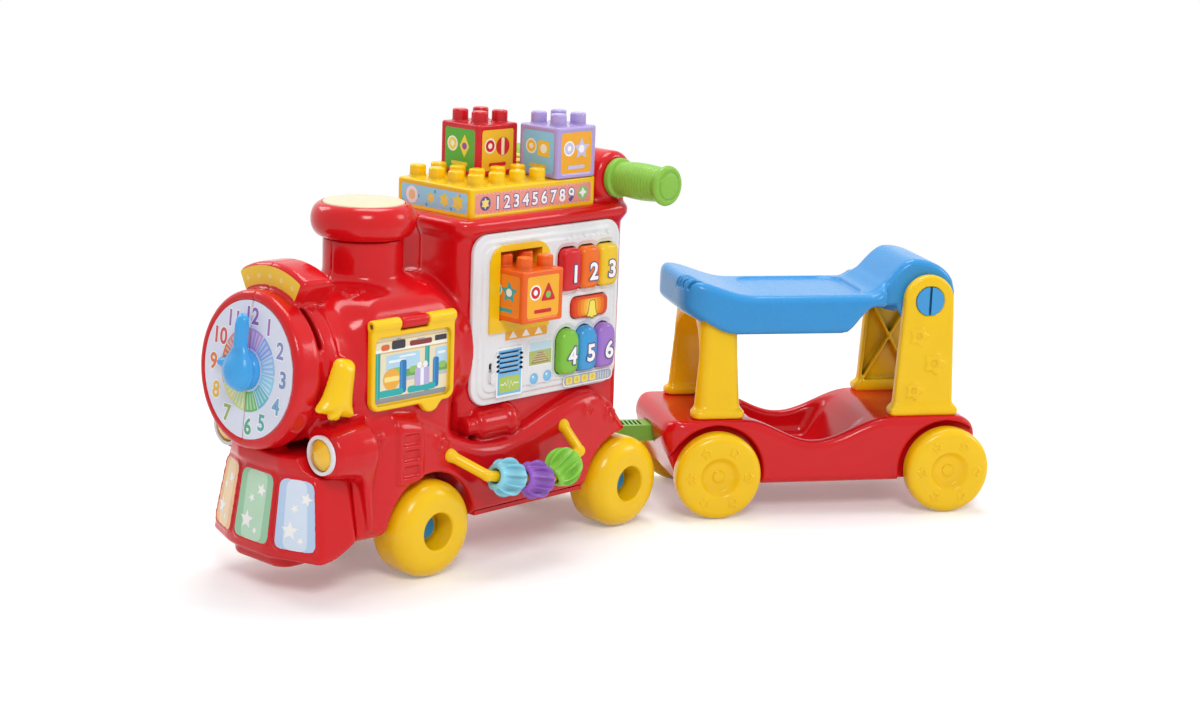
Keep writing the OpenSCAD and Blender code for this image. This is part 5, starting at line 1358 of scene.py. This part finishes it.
plate_spans = (roof_plate_x, roof_plate_y, (314, 355))
plate_piece = mould("stud_plate_moulding", "locomotive", loco, plate_spans, 1.15, roof_plate_form,
                    yellow_plastic)
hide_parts("stud_plate")
salmon_ink = (0.84, 0.32, 0.26)
navy_ink = (0.08, 0.10, 0.30)
row_low = roof_plate_z[0] + 4.6
row_high = roof_plate_z[1] - 4.6
row_mid = (row_low + row_high) / 2
row_u = [-203 + 11.9 * k for k in range(9)]
dash_u = [-230 + 5 * k for k in range(29)]
dashes = [box_line(u, u + 2.5, v, v + 0.7) for v in (row_low + 1, row_high - 1.7) for u in dash_u]
row_base = box_line(roof_plate_x[0] + 5, roof_plate_x[1] - 5, row_low, row_high, 3.5)
row_layers = [(salmon_ink, 0.05, [row_base]),
              ((0.92, 0.56, 0.50), 0.08, dashes),
              (navy_ink, 0.1, [lettering(str(k + 1), 12, 1.2, u, row_mid) for k, u in enumerate(row_u)]),
              (key_white, 0.14, [lettering(str(k + 1), 12, 0.4, u, row_mid) for k, u in enumerate(row_u)]),
              (navy_ink, 0.1, [disc_line(-218.5, row_mid, 6.5)]),
              ((0.93, 0.72, 0.20), 0.14, [spark_line(-218.5, row_mid, 5.4, 6, 0.6)]),
              ((0.30, 0.58, 0.20), 0.1, [disc_line(-92.5, row_mid, 6.5)]),
              (white_ink, 0.14, [spark_line(-92.5, row_mid, 5.2, 4, 0.5)])]
film("number_row", "locomotive", side_plane(roof_plate_y[0] + print_deep), row_layers)
dots = [disc_line(-43 + 11 * k, row_low + 3 + 6.5 * ((k * 5) % 3), 1.5) for k in range(9)]
suns = [spark_line(u, row_mid, r, 6, 0.62) for u, r in ((-4, 5.5), (14, 7), (32, 8.5))]
end_base = box_line(roof_plate_y[0] + 5, roof_plate_y[1] - 5, row_low, row_high, 3.5)
end_layers = [((0.36, 0.76, 0.95), 0.05, [end_base]),
              ((0.12, 0.48, 0.82), 0.08, dots),
              ((0.94, 0.78, 0.12), 0.1, suns),
              (white_ink, 0.1, [disc_line(-30, row_mid, 8)]),
              ((0.93, 0.62, 0.30), 0.13, [disc_line(-30, row_mid, 4.5)])]
on_end = drawing(loco, (roof_plate_x[0] + print_deep, 0, 0), (0, -1, 0), (0, 0, 1))
film("end_film", "locomotive", on_end, end_layers)

# Handle grips
# Soft green sleeves pushed over the two stubs of the handle, swelling for the hand and flanged at both ends.
# They are moulded in a rubbery plastic with faint ribs and a satin skin.
grip_start = 52.3
grip_l = 69
grip_r = 15.9
grip_swell = 1.5
grip_end_r = 19
grip_bore = 11.3
grip_ribs = 13
rib_steps = 6
rib_high = 0.2
grip_cap_r = 13
green_grip = plastic("green_grip", (0.25, 0.53, 0.06), 0.34, 0.03, 0.05, 0.05)
grip_line = [(grip_bore, 0), (grip_end_r - 2, 0)] + arc(grip_end_r - 2, 2, 2, -90, 0, 4)
grip_line += arc(grip_end_r - 1.5, 5.5, 1.5, 0, 70, 4)
for k in range(grip_ribs * rib_steps + 1):
    share = k / (grip_ribs * rib_steps)
    rib = rib_high * math.sin(2 * math.pi * k / rib_steps)
    grip_line.append((grip_r + grip_swell * math.sin(math.pi * share) + rib, 8.5 + (grip_l - 20) * share))
grip_line += [(grip_r + 0.3, grip_l - 10.6), (grip_end_r - 1.6, grip_l - 8.6)]
grip_line += arc(grip_end_r - 3.5, grip_l - 4.5, 3.5, -40, 85, 10)
grip_line += [(grip_cap_r + 1.2, grip_l - 1.1), (grip_cap_r + 0.4, grip_l - 1.6)]
grip_line += [(grip_cap_r - 0.3, grip_l - 1.4)]
grip_line += [(grip_cap_r - 0.9, grip_l - 0.5), (grip_cap_r - 1.9, grip_l), (0, grip_l + 0.3)]
for side, way in (("near", 1), ("far", -1)):
    plane = drawing(loco, (handle_x, -way * grip_start, handle_z), (way, 0, 0), (0, 0, 1))
    sleeve = turned(f"grip_{side}", "locomotive", plane, grip_line, green_grip)
    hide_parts("grips")

# Bead rod
# A bent yellow rod springs from the running board, and three ribbed hollow beads turn on it.
# The rod's ends are swollen into plugs that push into the red side.
rod_points = ((-279.5, -75, 110), (-259.7, -104, 93.6), (-181.5, -104, 75), (-141.5, -104, 97),
              (-135.5, -75, 115))
rod_end_y = -74
rod_r = 5
plug_r = 6
bead_r = 18.5
bead_half = 16
bead_ribs = 10
bead_hole_r = 7.2
hole_deep = 8
bead_core_r = 11.5
rib_share = 0.48
bead_looks = ((0.27, 0.70, 0.86), (0.34, 0.11, 0.60), (0.28, 0.68, 0.07))
bead_steps = 200
bead_rows = 36


def rod_form(x, y, z):
    form = 1e3
    for (ax, ay, az), (bx, by, bz) in zip(rod_points, rod_points[1:]):
        dx, dy, dz = bx - ax, by - ay, bz - az
        run = dx * dx + dy * dy + dz * dz
        share = np.clip(((x - ax) * dx + (y - ay) * dy + (z - az) * dz) / run, 0, 1)
        off = (x - ax - share * dx) ** 2 + (y - ay - share * dy) ** 2 + (z - az - share * dz) ** 2
        form = fused(form, np.sqrt(off) - rod_r, 1.5)
    for px, py, pz in (rod_points[0], rod_points[-1]):
        form = fused(form, np.sqrt((x - px) ** 2 + (y - py) ** 2 + (z - pz) ** 2) - plug_r, 3)
    return common(form, y - rod_end_y)


rod_spans = ((-289, -126), (-112, rod_end_y), (66, 125))
rod = mould("rod_bend", "locomotive", loco, rod_spans, 1.1, rod_form, yellow_plastic)
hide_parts("bead_rod")

bead_line = [(bead_hole_r, hole_deep - bead_half), (bead_hole_r, 0.6 - bead_half)]
bead_line += [(bead_hole_r + 0.6, -bead_half)]
for row in range(bead_rows + 1):
    along = -bead_half * math.cos(math.pi * row / bead_rows)
    bead_line.append((math.sqrt(bead_r ** 2 - 0.98 * along ** 2), along))
bead_line += [(r, -along) for r, along in reversed(bead_line[:3])]


def soft_step(share):
    """A rise from 0 to 1 that starts and ends gently."""
    share = min(1, max(0, share))
    return share * share * (3 - 2 * share)


for number, colour in enumerate(bead_looks):
    pivot = joints[f"bead_{number + 1}_spin"]
    axis = Vector(pivot["axis"]).normalized()
    right = axis.cross(Vector((0, 1, 0))).normalized()
    turn_to = Matrix((right, axis.cross(right), axis)).transposed().to_4x4()
    at = Matrix.Translation(pivot["pos_m"]) @ turn_to @ Matrix.Scale(0.001, 4)
    points, faces = [], []
    for round_r, along in bead_line:
        core_r = min(round_r, bead_core_r)
        for k in range(bead_steps):
            turn = 2 * math.pi * k / bead_steps
            rib = soft_step(1 - abs(math.sin(bead_ribs * turn / 2)) / rib_share)
            r = core_r + (round_r - core_r) * rib
            points.append(at @ Vector((r * math.cos(turn), r * math.sin(turn), along)))
    for row in range(len(bead_line) - 1):
        for k in range(bead_steps):
            low = row * bead_steps
            after = (k + 1) % bead_steps
            faces.append([low + k, low + after, low + bead_steps + after, low + bead_steps + k])
    bead = mesh_piece(f"bead_ribbed_{number + 1}", f"bead_{number + 1}", points, faces,
                      [plastic(f"bead_finish_{number + 1}", colour, 0.18, coat=0.2)])
    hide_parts(f"bead_{number + 1}")

# Locomotive wheels
# Fat yellow blow-moulded wheels run on steel axles; blue caps are pressed on at the bottom of the deep hubs.
# The treads are rounded over into the faces, and the hub's mouth has a small crisp edge.
tread_y = 42
wheel_w = 44
wheel_r = 44.5
hub_floor = 19
hub_hole_r = 17
axle_hole_r = 5
tread_round = 17
wheel_line = [(axle_hole_r, 0), (34, 0)] + arc(35.5, 9, 9, -90, 0) + [(wheel_r, 22)]
wheel_line += arc(wheel_r - tread_round, wheel_w - tread_round, tread_round, 0, 88, 14)
wheel_line += arc(hub_hole_r + 2.5, wheel_w - 2.5, 2.5, 88, 180, 6) + [(hub_hole_r, hub_floor + 3)]
wheel_line += arc(hub_hole_r - 2, hub_floor + 2, 2, 0, -90, 4) + [(axle_hole_r, hub_floor)]
wheel_corners = (("fr", 0, -1), ("fl", 0, 1), ("rr", 1, -1), ("rl", 1, 1))
for corner, axle, side in wheel_corners:
    name = "wheel_" + corner
    plane = drawing(loco, (axles_x[axle], side * tread_y, axle_z), (-side, 0, 0), (0, 0, 1))
    wheel = turned(name + "_tyre", name, plane, wheel_line, yellow_plastic, 128)
    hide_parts(name)
painted("axle_caps", plastic("cap_blue", (0.02, 0.26, 0.62), 0.25), 0.0012)
for node in ("loco_axles", "wagon_axles", "hitch_pin", "pan_screws", "battery_cells"):
    painted(node, steel)
painted("battery_tray", dark_plastic)

# Wagon body
# A red blow-moulded tray on four wheels, its rim waving down between them.
# The nose is raked back over the drawbar, and the dished floor is pressed with a few raised marks.
yaw = math.atan(-joints["seat_lift"]["axis"][0] / joints["seat_lift"]["axis"][1])
wagon = Matrix.Translation(hitch) @ Matrix.Rotation(yaw, 4, "Z") @ Matrix.Scale(0.001, 4)
wagon_s = (44, 381)
wagon_half = 70
wagon_foot = 31
deck_z = 97
dip_z = 74
dip_s = 202.5
rim_s = (128, 283)
tail_fall = 32
tail_drop = 34
nose_r = 18
wagon_axles_s = (100, 341)
wagon_wheel_r = 43.5
wagon_bay_r = 48.5
wagon_bay_y = 59
tray_s = (133, 265)
tray_ramp = 40
tray_half = 55
tray_floor = 48
bar_half = 13
bar_z = (64.3, 80.3)
bar_end = 78
pressed_half = 50
pressed_top = 62
tray_marks = ((178, -30, 13, 5), (206, 14, 15, 5), (222, -28, 11, 5), (186, 30, 11, 5))


def eased(a, b, share):
    """A smooth change from a to b as the share goes from nought to one."""
    return a + (b - a) * (1 - math.cos(math.pi * min(1, max(0, share)))) / 2


def deck_height(s):
    share = (s - rim_s[0]) / (dip_s - rim_s[0]) if s < dip_s else (rim_s[1] - s) / (rim_s[1] - dip_s)
    fall = max(0, (s - wagon_s[1] + tail_fall) / tail_fall)
    return eased(deck_z, dip_z, share) - tail_drop * (1 - math.sqrt(max(0, 1 - fall * fall)))


def tray_height(s):
    share = (s - tray_s[0]) / tray_ramp if s < dip_s else (tray_s[1] - s) / tray_ramp
    return eased(deck_z + 3, tray_floor, share)


deck_line = [(float(s), deck_height(s)) for s in np.linspace(wagon_s[0] + nose_r + 4, wagon_s[1], 60)]
wagon_side = [(wagon_s[0] + 22, wagon_foot)] + arc(wagon_s[0] + nose_r, deck_z - nose_r, nose_r, 180, 90, 10)
wagon_side += deck_line + [(wagon_s[1], wagon_foot + 12), (wagon_s[1] - 12, wagon_foot)]
tray_line = [(float(s), tray_height(s)) for s in np.linspace(*tray_s, 50)]
tray_line += [(tray_s[1], deck_z + 40), (tray_s[0], deck_z + 40)]


def wagon_form(s, h, z):
    side = np.abs(h)
    form = shared(outline(s, z, wagon_side), tile(s, h, wagon_s, across(wagon_half), 24), 8)
    for axle in wagon_axles_s:
        bay = common(np.hypot(s - axle, z - wagon_wheel_r) - wagon_bay_r, wagon_bay_y - side)
        form = carved(form, bay, 2.5)
    form = carved(form, shared(outline(s, z, tray_line), side - tray_half, 14), 6)
    marks = shared(blossoms(s, h, tray_marks), form - 1.5, 1.0)
    form = fused(form, common(marks, side - pressed_half, z - pressed_top), 0.8)
    slot = common(side - bar_half - 0.4, between(z, bar_z[0] - 0.4, bar_z[1] + 0.4), s - bar_end - 2)
    return carved(form, slot, 0.6)


wagon_spans = (wagon_s, across(wagon_half), (wagon_foot, deck_z + 7))
wagon_piece = mould("wagon_moulding", "wagon", wagon, wagon_spans, 1.5, wagon_form, red_plastic)
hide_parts("wagon_body")
painted("drawbar", plastic("green_plastic", (0.20, 0.52, 0.05), 0.28), 0.0008)

# Front arch and rear posts
# Yellow mountings screwed to the wagon's deck: a wide arch under the seat, and two posts that hinge it.
# The posts are open and ribbed inside, and lightly marked outside; a slotted blue pin closes each pivot.
arch_s = (79, 127)
arch_half = 60
arch_top = 210
arch_top_half = 51
arch_lean = 6
arch_leg = 15
arch_beam = 18
arch_bend = 38
foot_z = (97.3, 105.3)
foot_lip = 3
pivot_s = 318
pivot_z = 214
post_r = 26
post_lean = 6
post_y = (48, 60)
post_marks = ((308, 178, 11, 5), (326, 150, 12, 5), (306, 122, 10, 5))
post_rib_turns = (math.radians(60), math.radians(-60))
pivot_wall_r = 19
pivot_hole_r = 14.8


def arch_form(s, h, z):
    legs = [(-arch_half, foot_z[0]), (arch_half, foot_z[0])]
    legs += [(arch_top_half, arch_top), (-arch_top_half, arch_top)]
    cheek = [(arch_s[0], foot_z[0]), (arch_s[1], foot_z[0])]
    cheek += [(arch_s[1] - arch_lean, arch_top), (arch_s[0] + arch_lean, arch_top)]
    form = shared(outline(h, z, legs), outline(s, z, cheek), 11)
    opening = tile(h, z, (-arch_half + arch_leg, arch_half - arch_leg), (0, arch_top - arch_beam), arch_bend)
    foot_h = (arch_half - arch_leg - foot_lip, arch_half + foot_lip)
    flange = tile(s, np.abs(h), (arch_s[0] - foot_lip, arch_s[1] + foot_lip), foot_h, 8)
    return fused(carved(form, opening, 5), shared(flange, between(z, *foot_z), 2.5), 5)


arch_spans = ((74, 132), across(64), (97, 211))
arch_piece = mould("arch_moulding", "wagon", wagon, arch_spans, 1.4, arch_form, yellow_plastic)
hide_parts("front_arch")


def post_plan(s, z, inset):
    foot = post_r + post_lean
    shaft = [(pivot_s - foot, foot_z[0]), (pivot_s + foot, foot_z[0]), (pivot_s + post_r, pivot_z),
             (pivot_s - post_r, pivot_z)]
    return np.minimum(outline(s, z, shaft), np.hypot(s - pivot_s, z - pivot_z) - post_r) + inset


def post_form(s, h, z):
    side = np.abs(h)
    foot = post_r + post_lean + 4
    from_pin = np.hypot(s - pivot_s, z - pivot_z)
    form = shared(post_plan(s, z, 0), between(side, *post_y), 3.5)
    flange = tile(s, z, (pivot_s - foot, pivot_s + foot), foot_z, 3)
    form = fused(form, shared(flange, between(side, post_y[0], post_y[1] + 4), 2.5), 6)
    middle = (pivot_z + deck_z) / 2
    ribs = 1e3
    for turn in post_rib_turns:
        ribs = np.minimum(ribs, np.abs((z - middle) * math.cos(turn) - (s - pivot_s) * math.sin(turn)) - 1.6)
    hollow = common(post_plan(s, z, 3.4), side - post_y[1] + 4, pivot_wall_r - from_pin, foot_z[1] + 3 - z)
    form = carved(form, common(hollow, -ribs), 0.6)
    marks = shared(blossoms(s, z, post_marks), between(side, post_y[1] - 2, post_y[1] + 1.8), 0.7)
    return carved(fused(form, marks, 0.7), from_pin - pivot_hole_r, 0.8)


post_spans = ((280, 356), across(65), (97, 241))
posts = mould("post_mouldings", "wagon", wagon, post_spans, 1.3, post_form, yellow_plastic)
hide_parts("rear_posts")

# Seat
# One blue blow-moulded saddle, hollow below: raised and slit at the front, dished, and humped behind.
# It lifts about the two pins, so it also stands up as a back rest.
seat_s = (58, 350)
seat_half = 60
seat_rear_half = 47.4
seat_wide_s = 274
seat_z = 220
seat_up = 17
rise_s = 122
flat_end = 256
hump_s = 304
hump_up = 34
front_t = 35
front_r = 10
front_corner = 32
skirt_low = 40
skirt_s = (118, 230)
skirt_run = 32
rear_low = 8
rear_r = 32
seat_wall = 4
hollow_high = 60
hollow_start = 26
seat_slits = 4
slit_start = -51
slit_wide = 3.4
slit_pitch = 7.5
slit_foot = 226
sit_s = (142, 254)
sit_half = 49
sit_corner = 22
sit_deep = 2.4


def seat_top(s):
    if s < rise_s + seat_up:
        end = front_r - math.sqrt(max(0, front_r ** 2 - max(0, seat_s[0] + front_r - s) ** 2))
        return seat_z + eased(seat_up, 0, (s - wagon_s[0] - seat_up) / (rise_s - wagon_s[0])) - end
    if s < hump_s:
        return seat_z + eased(0, hump_up, (s - flat_end) / (hump_s - flat_end))
    return seat_z + hump_up * math.sqrt(max(0, 1 - ((s - hump_s) / (seat_s[1] - hump_s + 0.01)) ** 2))


def seat_low(s):
    if s < skirt_s[0]:
        share = (s - seat_s[0]) / (skirt_s[0] - seat_s[0])
        return eased(seat_z + seat_up - front_t, seat_z - skirt_low, share)
    return eased(seat_z - skirt_low, pivot_z - rear_low, (s - skirt_s[1]) / skirt_run)


top_line = [(float(s), seat_top(s)) for s in np.linspace(*seat_s, 90)]
low_line = []
for s in np.linspace(seat_s[1], seat_s[0], 90):
    low_line.append((float(s), min(seat_low(s), seat_top(s) - seat_wall)))


def seat_form(s, h, z):
    side = np.abs(h)
    profile = outline(s, z, top_line + low_line)
    under = outline(s, z, top_line + [(seat_s[1], 90), (seat_s[0], 90)])
    disc = np.hypot(s - pivot_s, z - pivot_z) - rear_r
    plan = tile(s, h, (seat_s[0], seat_s[1] + 60), across(seat_half), front_corner)
    wide = shared(shared(shared(profile, seat_s[0] - s, 15), plan, 9), s - seat_wide_s, 6)
    rear = shared(shared(np.minimum(profile, disc), side - seat_rear_half, 7), seat_wide_s - 20 - s, 1)
    form = fused(wide, rear, 4)
    dish = shared(tile(s, h, sit_s, across(sit_half), sit_corner), seat_z - sit_deep - z, 1.5)
    form = carved(form, dish, 1.8)
    half = np.where(s < seat_wide_s - seat_wall, seat_half, seat_rear_half) - seat_wall
    hollow = common(under + seat_wall, side - half, plan + seat_wall, seat_z - hollow_high - z,
                    seat_s[0] + hollow_start - s)
    form = common(form, -hollow)
    for k in range(seat_slits):
        near = slit_start + slit_pitch * k
        slit = tile(h, s, (near, near + slit_wide), (67 - 3 * k, 83 - 2 * k), 1.6)
        form = carved(form, shared(slit, slit_foot - z, 0.5), 0.3)
    return form


seat_blue = plastic("seat_blue", (0.038, 0.30, 0.68), 0.26, 0.02, 0.006)
seat_spans = (seat_s, across(seat_half), (170, 256))
seat_piece = mould("seat_moulding", "seat", wagon, seat_spans, 1.4, seat_form, seat_blue)
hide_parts("seat")
painted("seat_pins", plastic("pin_blue", (0.06, 0.34, 0.72), 0.25), 0.0006)

# Wagon wheels
# Narrower yellow wheels with a flat face, pressed onto the ends of steel axles.
# Each face is sunk round a low hub and carries a few raised marks between the dish and the rounded tread.
wagon_wheel_y = 61
wagon_wheel_w = 24
dish_r = 19.5
dish_deep = 6.3
dish_floor_r = 15
nub_r = 6
nub_high = 1.8
mark_r = 29
mark_count = 6
mark_high = 0.9
wagon_wheel_line = [(axle_hole_r, 0), (34, 0)] + arc(35.5, 8, 8, -90, 0)
wagon_wheel_line += arc(wagon_wheel_r - 8, wagon_wheel_w - 8, 8, 0, 90, 10) + [(dish_r + 2, wagon_wheel_w)]
dish_z = wagon_wheel_w - dish_deep
wagon_wheel_line += [(dish_r + 0.6, wagon_wheel_w - 0.4), (dish_r - 0.5, wagon_wheel_w - 1.5)]
wagon_wheel_line += [(dish_floor_r + 1.2, dish_z + 1), (dish_floor_r, dish_z + 0.2)]
wagon_wheel_line += [(dish_floor_r - 1.2, dish_z), (nub_r + 0.8, dish_z), (nub_r, dish_z + 0.5)]
wagon_wheel_line += [(nub_r - 0.2, dish_z + nub_high - 0.5), (nub_r - 0.9, dish_z + nub_high)]
wagon_wheel_line += [(0, dish_z + nub_high)]


def mark_form(x, y, z):
    around = np.arctan2(y, x) * mark_count / (2 * math.pi)
    turn = (around - np.round(around)) * 2 * math.pi / mark_count
    r = np.hypot(x, y)
    leaf = blossom(r * np.cos(turn), r * np.sin(turn), (mark_r, 0), 6.5, 5)
    return shared(leaf, between(z, -1, mark_high), 0.6)


for corner, axle, side in wheel_corners:
    name = "wagon_wheel_" + corner
    hub_at = (wagon_axles_s[axle], side * wagon_wheel_y, wagon_wheel_r)
    plane = drawing(wagon, hub_at, (-side, 0, 0), (0, 0, 1))
    wheel = turned(name + "_tyre", name, plane, wagon_wheel_line, yellow_plastic, 128)
    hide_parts(name)
    on_face = plane @ Matrix.Translation((0, 0, wagon_wheel_w))
    reach = (-mark_r - 8, mark_r + 8)
    spans = (reach, reach, (-1, mark_high))
    raised = mould(name + "_marks", name, on_face, spans, 0.8, mark_form, yellow_plastic)
